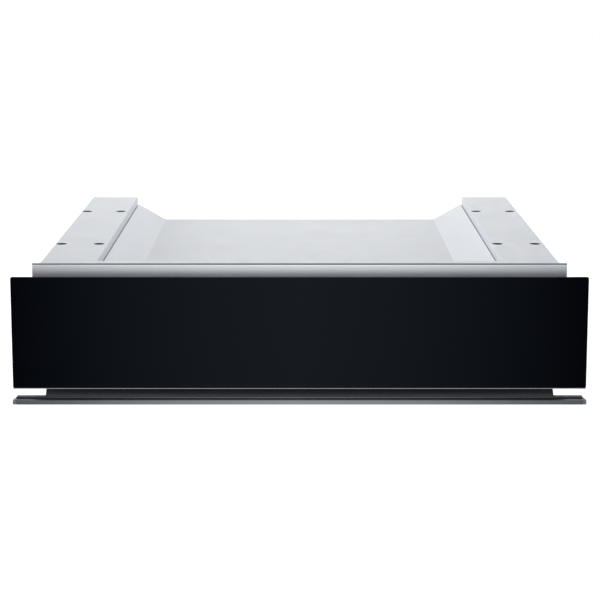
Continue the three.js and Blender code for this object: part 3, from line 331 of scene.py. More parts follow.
# Painted highlight: the upper edge of the frame is painted brighter by this factor.
PAINTED_EDGE_HIGHLIGHT = 1.3  # how much brighter the upper edge is
PAINTED_HIGHLIGHT_SHADES = [
    [place, [min(1.0, channel * PAINTED_EDGE_HIGHLIGHT) for channel in colour]] for place, colour in FRAME_SHADES
]


def framed(tree):
    """Brushed steel with a painted sheen, darker at both ends, and a painted highlight on its upper edge."""
    lines = brush_marks(tree, ALONG_X)
    shade = blend(tree, from_middle(tree), lines, 0.06)
    on_edge = along(tree, "Z", FRAME_TOP - 1.0, FRAME_TOP - 0.8)
    face, edge = coloured(tree, shade, FRAME_SHADES), coloured(tree, shade, PAINTED_HIGHLIGHT_SHADES)
    return add_node(tree, "Mix", {0: on_edge, 6: face, 7: edge}, 2, data_type="RGBA"), lines, lines


surface("front_stainless", framed, (0.34, 0.48), 0.003, metallic=1)
print("front stainless")

# %% [markdown]
# ### Dark anodised aluminium
# The trim bar and the grip under the glass are drawn profiles with a dark anodised skin. The long bar is
# painted lighter in the middle and darker towards its ends, a painted sheen of a soft light in front. The
# grip's thin edge is nearly one grey, with a faint painted sheen of the same kind.


# %% Anodised aluminium
def anodised(name, stops):
    """Drawn aluminium with a painted sheen that follows the distance from the middle."""
    def pattern(tree):
        lines = brush_marks(tree, ALONG_X)
        return coloured(tree, blend(tree, from_middle(tree), lines, 0.04), stops), lines, lines

    surface(name, pattern, (0.34, 0.46), 0.003, metallic=1)


anodised("trim_aluminium", [
    [0.0, (0.232, 0.243, 0.261)],
    [0.45, (0.184, 0.194, 0.208)],
    [0.8, (0.104, 0.111, 0.121)],
    [1.0, (0.070, 0.076, 0.083)],
])
anodised("grip_aluminium", [[0.0, (0.262, 0.274, 0.293)], [1.0, (0.232, 0.243, 0.261)]])
print("anodised aluminium")

# %% [markdown]
# ### Glass
# The front is toughened glass with black enamel on its back, a deep blue-black. Its colour is painted
# lighter towards the middle, a painted sheen of a soft light in front, and its polished face is even, so
# only the roughness carries a trace of unevenness. The plate in the drawer is dark tinted glass, with a
# faint painted sheen of the same kind.


# %% Glass
def glass_skin(name, stops, gloss):
    """Dark polished glass, with a painted sheen that is lightest in the middle."""
    def pattern(tree):
        return coloured(tree, from_middle(tree), stops), noise(tree, in_mm(tree), 120), None

    surface(name, pattern, (0.06, 0.12), gloss=gloss)


glass_skin("black_glass", [
    [0.0, (0.0110, 0.0136, 0.0180)],
    [0.33, (0.0087, 0.0114, 0.0150)],
    [0.62, (0.0052, 0.0070, 0.0099)],
    [1.0, (0.0002, 0.0010, 0.0028)],
], 0.012)
glass_skin("clear_glass", [[0.0, (0.035, 0.040, 0.043)], [1.0, (0.030, 0.035, 0.038)]], 0.4)
print("black and tinted glass")

# %% [markdown]
# ### Paint, plastic and rubber
# The air guide is powder coated, which leaves a fine orange peel. The plastics have a moulded grain, and
# rubber and silicone are rougher and duller still. One function makes them all, from a colour, the two ends
# of its roughness, the size and depth of its grain in millimetres, and a gloss.


# %% Grained finishes
def grained(name, colour, rough, grain, depth, gloss):
    """A moulded or painted skin."""
    def pattern(tree):
        place = in_mm(tree)
        skin, patches = noise(tree, place, grain, 3), noise(tree, place, 40)
        return coloured(tree, blend(tree, skin, patches, 0.5), shades(colour, 0.06)), patches, skin

    surface(name, pattern, rough, depth, gloss=gloss)


for skin in [
    ["dark_steel", (0.045, 0.051, 0.056), (0.42, 0.52), 1.6, 0.01, 0.2],
    ["black_plastic", (0.012, 0.0125, 0.013), (0.45, 0.55), 0.5, 0.02, 0.5],
    # Near-black and dull, darker than black plastic: painted shade for the inside of the rail holes.
    ["bore_plastic_painted_shade", (0.004, 0.004, 0.004), (0.6, 0.7), 0.5, 0.02, 0.1],
    ["grey_plastic", (0.15, 0.16, 0.17), (0.45, 0.55), 0.5, 0.02, 0.5],
    ["white_plastic", (0.66, 0.655, 0.63), (0.4, 0.5), 0.5, 0.015, 0.5],
    ["foot_rubber", (0.014, 0.014, 0.015), (0.7, 0.85), 1.2, 0.05, 0.5],
    ["mat_silicone", (0.030, 0.032, 0.035), (0.6, 0.75), 0.8, 0.03, 0.5],
    ["indicator_amber", (0.75, 0.27, 0.04), (0.15, 0.25), 1.5, 0.005, 0.5],
]:
    grained(*skin)
print("paint, plastic, rubber and silicone")

# %% [markdown]
# ### Zinc plating, heater steel and the circuit board
# Zinc-plated runners are bright with a faint blue and yellow cloud, and the heater's sheath has oxidised to
# a brown grey. The board has green lacquer over its tracks.


# %% Zinc plating and heater steel
def plated(name, first, second, rough, grain):
    """Metal with clouds of two colours."""
    def pattern(tree):
        place = in_mm(tree)
        fine = noise(tree, place, grain)
        clouds = blend(tree, noise(tree, place, 25), fine, 0.3)
        return coloured(tree, clouds, [[0.3, first], [0.7, second]]), fine, fine

    surface(name, pattern, rough, 0.004, metallic=1)


plated("zinced_steel", (0.52, 0.54, 0.57), (0.60, 0.595, 0.575), (0.26, 0.4), 0.7)
plated("heater_steel", (0.10, 0.088, 0.075), (0.17, 0.16, 0.15), (0.4, 0.6), 0.4)

# %% Circuit board
FINISH["circuit_board"], tree, shader = new_material("circuit_board")
tracks = add_node(tree, "TexBrick", {
    "Vector": in_mm(tree), "Scale": 1, "Brick Width": 9, "Row Height": 2.4, "Mortar Size": 0.5,
    "Color1": (0.012, 0.085, 0.035, 1), "Color2": (0.014, 0.10, 0.04, 1), "Mortar": (0.03, 0.17, 0.06, 1),
})
tree.links.new(tracks, shader.inputs["Base Color"])
shader.inputs["Roughness"].default_value = 0.35
print(len(FINISH), "finishes")

# %% [markdown]
# ## Modelling helpers
# The pieces are modelled as by hand: a primitive is added at its size and place, opened in edit mode, and
# shaped with extrude, inset, bevel and bisect. Faces and edges are picked in code, by where they are. All
# the lengths in this lesson are millimetres, and each piece ends with its place in its mesh.


# %% Choosing and placing
def choose(piece):
    """Only this piece selected, and active."""
    bpy.ops.object.select_all(action="DESELECT")
    piece.select_set(True)
    bpy.context.view_layer.objects.active = piece


def rename(piece, name):
    """Names a piece and its mesh."""
    piece.name = piece.data.name = name


def settle(piece, name):
    """Names a new piece, and moves its place, turn and scale into its mesh."""
    rename(piece, name)
    choose(piece)
    bpy.ops.object.transform_apply(location=True, rotation=True, scale=True)
    return piece


def spot(axis, along, a, b):
    """A point from its place along an axis and its two other coordinates, in X, Y, Z order."""
    return Vector({"x": (along, a, b), "y": (a, along, b), "z": (a, b, along)}[axis])


def around(middle, half):
    """A [low, high] pair from its middle and half its width."""
    return [middle - half, middle + half]


# %% Primitives
UPRIGHT = {"x": (0, math.pi / 2, 0), "y": (-math.pi / 2, 0, 0), "z": (0, 0, 0)}


def block(name, x, y, z):
    """A block between [low, high] pairs."""
    bpy.ops.object.select_all(action="DESELECT")
    low, high = (Vector(corner) * MM for corner in zip(x, y, z))
    bpy.ops.mesh.primitive_cube_add(size=1, location=(low + high) / 2, scale=high - low)
    return settle(bpy.context.object, name)


def post(name, axis, radius, span, a, b, sides=32):
    """A round post along an axis."""
    bpy.ops.object.select_all(action="DESELECT")
    bpy.ops.mesh.primitive_cylinder_add(
        vertices=sides, radius=radius * MM, depth=(span[1] - span[0]) * MM,
        location=spot(axis, sum(span) / 2, a, b) * MM, rotation=UPRIGHT[axis],
    )
    return settle(bpy.context.object, name)


# %% Edit mode
def edit(piece):
    """Opens a piece in edit mode."""
    choose(piece)
    bpy.ops.object.mode_set(mode="EDIT")


def close():
    """Back to object mode."""
    bpy.ops.object.mode_set(mode="OBJECT")


def pick(kind, test):
    """Selects the faces or edges of the open piece that pass a test."""
    bpy.ops.mesh.select_mode(type=kind)
    bpy.ops.mesh.select_all(action="DESELECT")
    mesh = bmesh.from_edit_mesh(bpy.context.edit_object.data)
    mesh.normal_update()
    for part in [part for part in (mesh.faces if kind == "FACE" else mesh.edges) if test(part)]:
        part.select_set(True)
    mesh.select_flush_mode()
    bmesh.update_edit_mesh(bpy.context.edit_object.data)


def pick_faces(test):
    """Selects faces by their middle, in millimetres, and their normal."""
    pick("FACE", lambda face: test(face.calc_center_median() / MM, face.normal))


def pick_edges(test):
    """Selects edges by their two ends, in millimetres."""
    pick("EDGE", lambda edge: test(*(corner.co / MM for corner in edge.verts)))


def pick_along(axis, **places):
    """Selects the edges along an axis, or only those at some places on the other axes."""
    k = "xyz".index(axis)

    def test(a, b):
        there = all(abs(getattr(end, key) - place) < 0.1 for key, place in places.items() for end in (a, b))
        return there and abs((a - b)[k]) > 0.999 * (a - b).length

    pick_edges(test)


# %% Shaping what is picked
def bevel(width, segments=3):
    """Rounds the picked edges."""
    bpy.ops.mesh.bevel(offset=width * MM, segments=segments, affect="EDGES")


def push(x=0, y=0, z=0):
    """Moves what is picked."""
    bpy.ops.transform.translate(value=Vector((x, y, z)) * MM)


def inset(thickness, depth=0, each=False):
    """Insets the picked faces, together or each, and moves them along their normal."""
    bpy.ops.mesh.inset(thickness=thickness * MM, depth=depth * MM, use_individual=each)


def slice_at(axis, place):
    """Cuts the whole open mesh at a place on an axis, and keeps both sides."""
    bpy.ops.mesh.select_all(action="SELECT")
    bpy.ops.mesh.bisect(plane_co=spot(axis, place, 0, 0) * MM, plane_no=spot(axis, 1, 0, 0))


def open_side(piece, axis, way):
    """Takes away the face of a block that looks up an axis (1) or down it (-1)."""
    edit(piece)
    pick_faces(lambda middle, normal: way * normal["xyz".index(axis)] > 0.9)
    bpy.ops.mesh.delete(type="FACE")
    close()


# %% Modifiers and cutting
def apply_modifier(piece, kind, **settings):
    """Adds a modifier with its settings, and applies it."""
    choose(piece)
    modifier = piece.modifiers.new(kind.lower(), kind)
    for key, value in settings.items():
        setattr(modifier, key, value)
    bpy.ops.object.modifier_apply(modifier=modifier.name)
    return piece


def break_edges(piece, width, segments=2, angle=50):
    """Rounds every edge that is sharper than an angle."""
    return apply_modifier(
        piece, "BEVEL", width=width * MM, segments=segments,
        limit_method="ANGLE", angle_limit=math.radians(angle),
    )


def thicken(piece, thickness, offset=-1):
    """Gives a surface the thickness of a sheet, inwards (-1) or outwards (1)."""
    return apply_modifier(piece, "SOLIDIFY", thickness=thickness * MM, offset=offset, use_even_offset=True)


def join(first, *others):
    """One piece out of several that don't touch."""
    bpy.ops.object.select_all(action="DESELECT")
    for piece in (first, *others):
        piece.select_set(True)
    bpy.context.view_layer.objects.active = first
    if others:
        bpy.ops.object.join()
    return first


def combine(piece, operation, other):
    """Cuts another piece out of a piece, or unites them, and removes the other."""
    apply_modifier(piece, "BOOLEAN", operation=operation, solver="EXACT", object=other)
    bpy.data.objects.remove(other)


def cut(piece, *cutters):
    """Cuts shapes out of a piece."""
    combine(piece, "DIFFERENCE", join(*cutters))
    return piece


def weld(piece, *others):
    """One closed piece out of several that overlap."""
    for other in others:
        combine(piece, "UNION", other)
    return piece


# %% Faces that look outwards
def flip(piece):
    """Turns every face round."""
    edit(piece)
    bpy.ops.mesh.select_all(action="SELECT")
    bpy.ops.mesh.flip_normals()
    close()
    return piece


def face_out(piece):
    """Merges doubled corners and turns every face outwards."""
    edit(piece)
    bpy.ops.mesh.select_all(action="SELECT")
    bpy.ops.mesh.remove_doubles(threshold=1e-7)
    bpy.ops.mesh.normals_make_consistent(inside=False)
    close()
    return piece


# %% Copies
def copy_of(piece, matrix):
    """A copy with its own mesh, moved by a matrix."""
    twin = piece.copy()
    twin.data = piece.data.copy()
    twin.data.transform(matrix)
    bpy.context.scene.collection.objects.link(twin)
    return twin


def spread(piece, matrices):
    """Moved copies in place of a piece."""
    made = [copy_of(piece, matrix) for matrix in matrices]
    bpy.data.objects.remove(piece)
    return made


def repeat(piece, steps):
    """Copies of a piece, each moved by a step, in place of the piece."""
    return spread(piece, [Matrix.Translation(Vector(step) * MM) for step in steps])


def ring_of(piece, count, x, z, start=0.0):
    """Copies of a piece turned round an axis along Y, in place of the piece."""
    middle = Matrix.Translation(Vector((x, 0, z)) * MM)
    turns = [Matrix.Rotation(start + 2 * math.pi * index / count, 4, "Y") for index in range(count)]
    return spread(piece, [middle @ turn @ middle.inverted() for turn in turns])


def row(count, pitch, middle=0):
    """Equal places, centred on the middle."""
    return [middle + (i - (count - 1) / 2) * pitch for i in range(count)]


# %% [markdown]
# ### Folded sheets
# Most of the object is bent from sheet. One facet is added as a plane, its edge is extruded from fold to
# fold, the folds are rounded, and Solidify gives the sheet its thickness. The line is drawn in the two axes
# that the sheet doesn't run along, and the thickness lies to the right of that line.


# %% Folded sheet
def folded_sheet(name, line, span, thickness, along="y", bend=0):
    """A sheet that follows a line of points and runs along an axis between two places."""
    def at(point, place=0):
        return spot(along, place, *point) * MM

    def flat(corner):
        return corner - axis * axis.dot(corner)

    def is_at(point):
        target = flat(at(point))
        return lambda a, b: all((flat(end * MM) - target).length < 1e-6 for end in (a, b))

    axis = spot(along, 1, 0, 0)
    start, end = (at(point, sum(span) / 2) for point in line[:2])
    ahead = (end - start).normalized()
    turn = Matrix((ahead, axis, ahead.cross(axis))).transposed().to_euler()
    bpy.ops.object.select_all(action="DESELECT")
    bpy.ops.mesh.primitive_plane_add(size=1, location=(start + end) / 2, rotation=turn)
    bpy.context.object.scale = ((end - start).length, (span[1] - span[0]) * MM, 1)
    sheet = settle(bpy.context.object, name)
    edit(sheet)
    pick_edges(is_at(line[1]))
    for before, after in zip(line[1:], line[2:]):
        bpy.ops.mesh.extrude_edges_move(TRANSFORM_OT_translate={"value": at(after) - at(before)})
    if bend:
        tests = [is_at(point) for point in line[1:-1]]
        pick_edges(lambda a, b: any(test(a, b) for test in tests))
        bevel(bend, 4)
    close()
    right = at((line[1][1] - line[0][1], line[0][0] - line[1][0]))
    if sheet.data.polygons[0].normal.dot(right) < 0:
        flip(sheet)
    return face_out(thicken(sheet, thickness, 1))


# %% [markdown]
# ### Turned pieces and rounded bars
# Feet, screws and knobs are round. A ring of corners is extruded along its axis and widened or narrowed step
# by step, as a lathe would leave it, and the open ends are filled. A bar with rounded edges serves as a
# plate, a bead or a cutter for a slot.


# %% Turned piece
def turned(name, axis, a, b, profile, sides=32, start=0, way=1):
    """A round piece through [radius, place] points along an axis, or a ring where the last is the first."""
    points = [[radius, start + way * place] for radius, place in profile]
    radius, place = points[0]
    bpy.ops.object.select_all(action="DESELECT")
    bpy.ops.mesh.primitive_circle_add(
        vertices=sides, radius=radius * MM, location=spot(axis, place, a, b) * MM, rotation=UPRIGHT[axis]
    )
    piece = settle(bpy.context.object, name)
    edit(piece)
    bpy.ops.mesh.select_all(action="SELECT")
    for wider, further in points[1:]:
        step = spot(axis, further - place, 0, 0) * MM
        bpy.ops.mesh.extrude_edges_move(TRANSFORM_OT_translate={"value": step})
        factor = wider / radius
        bpy.ops.transform.resize(value=(factor,) * 3, center_override=spot(axis, further, a, b) * MM)
        radius, place = wider, further
    bpy.ops.mesh.select_all(action="SELECT")
    bpy.ops.mesh.remove_doubles(threshold=1e-7)
    if profile[0] != profile[-1]:
        bpy.ops.mesh.fill_holes(sides=0)
    close()
    return face_out(piece)


# %% Rounded bars, and cutters for round and long holes
def rounded_bar(name, x, y, z, axis, radius, crown=0.0, way=1):
    """A bar with four edges rounded along an axis, and with a crown also around one end."""
    bar = block(name, x, y, z)
    edit(bar)
    pick_along(axis)
    bevel(radius, 5)
    if crown:
        k = "xyz".index(axis)
        end = (x, y, z)[k][1 if way > 0 else 0]
        pick_edges(lambda a, b: abs(a[k] - end) < 1e-3 and abs(b[k] - end) < 1e-3)
        bevel(crown, 3)
    close()
    return bar


def hole(axis, radius, wall, a, b, sides=32):
    """A cutter for a round hole through a wall between two places on an axis."""
    return post("cutter", axis, radius, [wall[0] - 1, wall[1] + 1], a, b, sides)


def long_hole(axis, wall, a, b, half_a, half_b, radius=None):
    """A cutter for a long hole with round ends through a wall between two places on an axis."""
    pairs = [around(a, half_a), around(b, half_b)]
    pairs.insert("xyz".index(axis), [wall[0] - 1, wall[1] + 1])
    return rounded_bar("cutter", *pairs, axis, radius or min(half_a, half_b) - 0.05)


# %% [markdown]
# ### The last step of every piece
# A finished piece has rounded edges, smooth shading, its finish, which is that of its slot unless another
# look is given, and the body that it rides on, and the node that it replaces is hidden. Most pieces belong to
# the housing. What sits on both sides is modelled on the right and mirrored, which turns its faces inside
# out, so they are flipped.


# %% Finish
def finish(piece, slot, *replaced, body="housing", look=None, smooth=35, edge=0, segments=2, angle=50):
    """Rounding, shading, finish and body of a piece; hides the nodes that it stands for."""
    if edge:
        break_edges(piece, edge, segments, angle)
    choose(piece)
    bpy.ops.object.shade_smooth_by_angle(angle=math.radians(smooth))
    apply_modifier(piece, "WEIGHTED_NORMAL", keep_sharp=True)
    piece.data.materials.clear()
    piece.data.materials.append(FINISH[look or slot])
    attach(piece, body)
    if replaced:
        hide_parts(*replaced)
    print(piece.name, len(piece.data.polygons), "faces")


def finish_pair(right, name, slot, node, body="housing", look=None):
    """Finishes a piece and its mirror image. A {} in a name stands for the side."""
    left = flip(copy_of(right, Matrix.Scale(-1, 4, (1, 0, 0))))
    for piece, side in ((right, "right"), (left, "left")):
        rename(piece, name.format(side))
        finish(piece, slot, node.format(side), body=body.format(side), look=look)


def span_of(node):
    """The [low, high] pairs of a node in millimetres, on X, Y and Z."""
    low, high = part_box(node)
    return [[a / MM, b / MM] for a, b in zip(low, high)]


# %% [markdown]
# ## The top of the case
# The top cover is one sheet: flat beside each rail, then a small step up, a slope down to the valley, and
# the same again in reverse. The frame holds only the box of each node, so the folds between are named here.

# %% Top cover
SHEET = 1.0
SLOPE_TOP, VALLEY_TOP, SHOULDER = 136.2, 116.4, 134.2
GROOVE, SLOPE_RUN = 1.4, 35.0
cover_x, cover_y, cover_z = span_of("top_cover")
rail_x, rail_y, rail_z = span_of("right_support_rail")
crest = rail_x[0] - GROOVE
valley = crest - SLOPE_RUN
right_half = [
    [valley, VALLEY_TOP], [crest, SLOPE_TOP], [crest, SHOULDER], [cover_x[1], SHOULDER],
    [cover_x[1], cover_z[0]],
]
line = [[-x, z] for x, z in reversed(right_half)] + right_half
top_cover = folded_sheet("top_cover_sheet", line, cover_y, SHEET)
finish(top_cover, "galvanised_steel", "top_cover", edge=0.25, angle=20)
print("valley", 2 * valley, "mm wide")

# %% [markdown]
# ## The support rails
# Two folded boxes carry the appliance above. Each is a block with its open side down. The long upper edges
# are bent, so they are rounded, while the front end stays square against the bulkhead. Both rails are the
# same part, so the left one is a copy that is moved over, not mirrored, and its holes keep their distance
# from its left side.

# %% Support rail
RAIL_SHEET = 1.5
HOLE_RADIUS = 6.0
HOLE_INSETS, HOLE_Y = (6.8, 9.8), (-121.0, 140.4)
HOLES = [[x, y] for x in (rail_x[0] + HOLE_INSETS[0], rail_x[1] - HOLE_INSETS[1]) for y in HOLE_Y]
TO_THE_LEFT = -rail_x[0] - rail_x[1]

rail = block("right_rail_box", rail_x, rail_y, rail_z)
open_side(rail, "z", -1)
thicken(rail, RAIL_SHEET)
edit(rail)
pick_along("y", z=rail_z[1])
bevel(0.9, 4)
pick_along("z", y=rail_y[1])
bevel(0.5, 3)
close()
cut(rail, *[post("cutter", "z", HOLE_RADIUS, [rail_z[1] - 4, rail_z[1] + 2], *place) for place in HOLES])
break_edges(rail, 0.15)
for piece, side in zip(repeat(rail, [[0, 0, 0], [TO_THE_LEFT, 0, 0]]), ("right", "left")):
    rename(piece, f"{side}_rail_box")
    finish(piece, "galvanised_steel", f"{side}_support_rail")

# %% [markdown]
# ## The sleeves in the rail holes
# A black plastic sleeve sits in each hole and takes the locating pin of the appliance above, and its black
# stands in for the shade in the hole. It is turned, with a thin wall and a closed foot. Its finish is
# near-black and dull, darker than black plastic: painted shade of the deep hole, which is why the holes look
# nearly black from the front.

# %% Sleeves
SLEEVE_TOP, SLEEVE_FOOT = rail_z[1] - 0.12, rail_z[0] + 1.2
sleeve = turned("sleeve", "z", 0, 0, [
    [5.92, SLEEVE_TOP], [5.92, SLEEVE_FOOT + 0.4], [5.5, SLEEVE_FOOT], [4.9, SLEEVE_FOOT],
    [4.9, SLEEVE_FOOT + 1], [5.35, SLEEVE_FOOT + 1.4], [5.76, SLEEVE_TOP - 0.3], [5.84, SLEEVE_TOP],
    [5.92, SLEEVE_TOP],
])
weld(sleeve, post("sleeve_floor", "z", 5.2, [SLEEVE_FOOT + 0.1, SLEEVE_FOOT + 0.9], 0, 0))
places = [[x + shift, y, 0] for shift in (TO_THE_LEFT, 0) for x, y in HOLES]
for index, piece in enumerate(repeat(sleeve, places)):
    rename(piece, f"rail_sleeve_{index + 1}")
    finish(piece, "black_plastic", look="bore_plastic_painted_shade")

# %% [markdown]
# ## The bulkhead and the front frame
# The bulkhead is a galvanised plate with a folded lip on top, which ends short of the plate's ears. The
# brushed stainless frame in front of it is what shows around the drawer. Above the frame, a thin dark strip
# on the bulkhead's face is painted shade at the lip's cut edge, a narrow grey line.

# %% Bulkhead
PLATE = 1.2
LIP_HALF, EAR_START = 269.7, 269.0
OPENING_X, OPENING_Z = [-267.2, 267.2], [21.0, 111.0]
KNOB_X = 229.2
KNOB_HOLE, BUTTON_HOLE = 3.3, 4.3
bulk_x, bulk_y, bulk_z = span_of("front_bulkhead")
button_x, press_y, button_z = span_of("power_button")
BUTTON_X, CONTROL_Z = sum(button_x) / 2, sum(button_z) / 2


def control_cutters(wall):
    """Cutters for the drawer opening and the two controls, through a wall."""
    opening = block("cutter", OPENING_X, [wall[0] - 1, wall[1] + 1], OPENING_Z)
    edit(opening)
    pick_along("y")
    bevel(2.5, 4)
    close()
    return [
        opening,
        hole("y", KNOB_HOLE, wall, KNOB_X, CONTROL_Z),
        hole("y", BUTTON_HOLE, wall, BUTTON_X, CONTROL_Z),
    ]


line = [[bulk_y[1], bulk_z[1]], [bulk_y[0], bulk_z[1]], [bulk_y[0], bulk_z[0]]]
bulkhead = folded_sheet("bulkhead_plate", line, [-LIP_HALF, LIP_HALF], -PLATE, along="x")
for side in (-1, 1):
    ear_x = sorted([side * EAR_START, side * bulk_x[1]])
    weld(bulkhead, block("ear", ear_x, [bulk_y[0], bulk_y[0] + PLATE], bulk_z))
cut(bulkhead, *control_cutters(bulk_y))
finish(bulkhead, "galvanised_steel", "front_bulkhead", edge=0.1)

# %% Painted shade at the cut edge of the bulkhead
frame_x, frame_y, frame_z = span_of("front_frame")
edge_y, edge_z = [bulk_y[0] - 0.25, bulk_y[0] - 0.01], [frame_z[1] + 0.05, bulk_z[1] - 0.1]
edge = block("bulkhead_painted_shade_strip", bulk_x, edge_y, edge_z)
finish(edge, "galvanised_steel", look="sheet_edge_painted_shade", edge=0.06, segments=1, angle=30)

# %% Front frame
plate = block("front_frame_plate", frame_x, frame_y, frame_z)
cut(plate, *control_cutters(frame_y))
edit(plate)
pick_along("x", y=frame_y[0], z=frame_z[1])
bevel(0.75, 5)
close()
finish(plate, "front_stainless", "front_frame", edge=0.12)

# %% [markdown]
# ## The drawer front
# The glass is a flat plate with small round corners and a ground edge all round. Below it, an aluminium
# profile shows as a thin light line and makes the grip that fingers reach from below.

# %% Glass front
glass = rounded_bar("drawer_glass", *span_of("glass_front"), "y", 1.5)
finish(glass, "black_glass", "glass_front", body="drawer", edge=0.35, segments=3)

# %% Grip profile
LIP, LEG = 0.8, 1.5
grip_x, grip_y, grip_z = span_of("grip_profile")
grip = block("grip_rail", grip_x, [grip_y[1] - LEG, grip_y[1]], grip_z)
edit(grip)
slice_at("z", grip_z[0] + LIP)
pick_faces(lambda middle, normal: normal.y < -0.9 and middle.z < grip_z[0] + LIP)
forward = Vector((0, grip_y[0] - grip_y[1] + LEG, 0)) * MM
bpy.ops.mesh.extrude_region_move(TRANSFORM_OT_translate={"value": forward})
for rise in row(4, 2.4, grip_z[0] + 13):
    slice_at("z", rise - 0.5)
    slice_at("z", rise + 0.5)
    pick_faces(lambda middle, normal: normal.y > 0.9 and abs(middle.z - rise) < 0.4)
    inset(0.2, -0.5)
close()
finish(grip, "trim_aluminium", "grip_profile", body="drawer", look="grip_aluminium", edge=0.2)

# %% [markdown]
# ## The lower trim
# A slim aluminium bar with plastic end caps closes the gap under the drawer. Behind it, a painted steel
# sheet rises to the frame and guides room air, and its foot shows as a dark rib on the bar.

# %% Trim bar
TRIM_WALL = 1.8
bar_x, bar_y, bar_z = span_of("lower_trim_bar")
line = [[bar_y[1], bar_z[1]], [bar_y[0], bar_z[1]], [bar_y[0], bar_z[0]]]
bar = folded_sheet("trim_bar", line, bar_x, -TRIM_WALL, along="x")
finish(bar, "trim_aluminium", "lower_trim_bar", edge=0.35, segments=3)

# %% End caps
cap_x, cap_y, cap_z = span_of("right_trim_end_cap")
cap = block("cap", cap_x, cap_y, cap_z)
edit(cap)
slice_at("y", cap_y[0] + 4)
pick_along("z", x=cap_x[1], y=cap_y[1])
push(x=-2)
pick_faces(lambda middle, normal: normal.y < -0.9)
inset(0.5, -0.25)
close()
break_edges(cap, 0.3, 3, angle=25)
finish_pair(cap, "{}_trim_cap", "grey_plastic", "{}_trim_end_cap")

# %% Air guide
LIP_TOP, RIB_TOP, WEB_HALF, GUIDE_FLANGE = 9.1, 7.1, 264.6, 5
guide_x, guide_y, guide_z = span_of("lower_air_guide")
foot = [[bar_y[1], guide_z[0]], [guide_y[0], guide_z[0]]]
rise = [[guide_y[0], LIP_TOP], [guide_y[1], guide_z[1]], [guide_y[1], guide_z[1] - GUIDE_FLANGE]]
web = folded_sheet("air_guide", foot + rise, [-WEB_HALF, WEB_HALF], SHEET, along="x")
rib = folded_sheet("rib", foot + [[guide_y[0], RIB_TOP]], guide_x, SHEET, along="x")
edit(rib)
pick_along("y", z=RIB_TOP)
bevel(1.55, 3)
close()
weld(web, rib)
finish(web, "dark_steel", "lower_air_guide", edge=0.18, angle=40)

# %% Bead of the air guide, a painted highlight
# A bright aluminium strip along the guide's dark lip is a painted highlight on its hem, with the trim's
# painted sheen.
bead = block("air_guide_highlight_bead", [-WEB_HALF, WEB_HALF], [guide_y[0] - 0.45, guide_y[0] - 0.02], [5.5, 6.5])
finish(bead, "trim_aluminium", edge=0.2, segments=3, angle=30)

# %% [markdown]
# ## Screws
# Pan-head screws hold the walls, flat ones the back and the drawer's inner wall, and small ones the lid and
# the wires in the terminal block. A screw is turned, and two crossed bars cut the recess for the driver. A
# head is a list of radii and heights above the surface.

# %% Screws
PAN_HEAD = [[2.0, -2.4], [2.0, 0.05], [3.4, 0.05], [3.4, 0.8], [2.9, 1.5], [1.7, 1.9]]
FLAT_HEAD = [[1.6, -3.4], [1.6, -2.0], [3.3, -0.35], [3.3, -0.1]]
LID_HEAD = [[1.6, -1.0], [1.6, -0.9], [3.2, -0.9], [3.2, -0.4], [2.6, -0.1]]
WELL_HEAD = [[3.0, -5.9], [3.5, -5.6], [3.5, -3.4], [3.1, -3.0]]
RECESS = 0.3, 1.7  # half the width and half the length of one bar of the cross


def add_screws(name, axis, way, surface_at, spots, head, body="housing"):
    """Screws at some spots, whose heads point up an axis (1) or down it (-1) from a surface."""
    top = surface_at + way * head[-1][1]
    for index, (a, b) in enumerate(spots):
        piece = turned(f"{name}_{index + 1}", axis, a, b, head, 20, surface_at, way)
        for half_a, half_b in (RECESS, RECESS[::-1]):
            pairs = [around(a, half_a), around(b, half_b)]
            pairs.insert("xyz".index(axis), around(top, 1))
            cut(piece, block("cutter", *pairs))
        finish(piece, "zinced_steel", body=body)


# %% [markdown]
# ## The walls of the case
# Each side wall is flat sheet with two long pressed beads that stiffen it, air slots at the back, and screws
# into the bulkhead. The hollow side of a bead can't be seen, so a bead is a rounded bar that is welded on.

# %% Side walls
FAN_Z = 64.0
BEAD_Y, BEAD_RISE = [-205, 195], 1.1
WALL_BEADS = 28, 107
WALL_SCREWS = [[-238.2, 31.25], [-238.2, 97.25]]
wall_x, wall_y, wall_z = span_of("right_side_wall")
wall = block("wall", wall_x, wall_y, wall_z)
bead_x = [wall_x[1] - 0.5, wall_x[1] + BEAD_RISE]
for z in WALL_BEADS:
    weld(wall, rounded_bar("bead", bead_x, BEAD_Y, around(z, 5), "x", 4.9, 0.8))
slots = [long_hole("x", wall_x, 239, z, 20, 1.5) for z in row(6, 9, FAN_Z)]
cut(wall, *slots, *[hole("x", 2.5, wall_x, *place, 20) for place in WALL_SCREWS])
break_edges(wall, 0.15)
finish_pair(wall, "{}_case_wall", "galvanised_steel", "{}_side_wall")
for side, way in (("left", -1), ("right", 1)):
    add_screws(f"{side}_wall_screw", "x", way, way * wall_x[1], WALL_SCREWS, PAN_HEAD)

# %% [markdown]
# ## The back panel
# The panel follows the underside of the top cover. It is cut from a rectangle with a block whose upper edges
# are drawn apart to the lean of the slopes. A shallow pressed field around the air slots keeps it from
# humming.

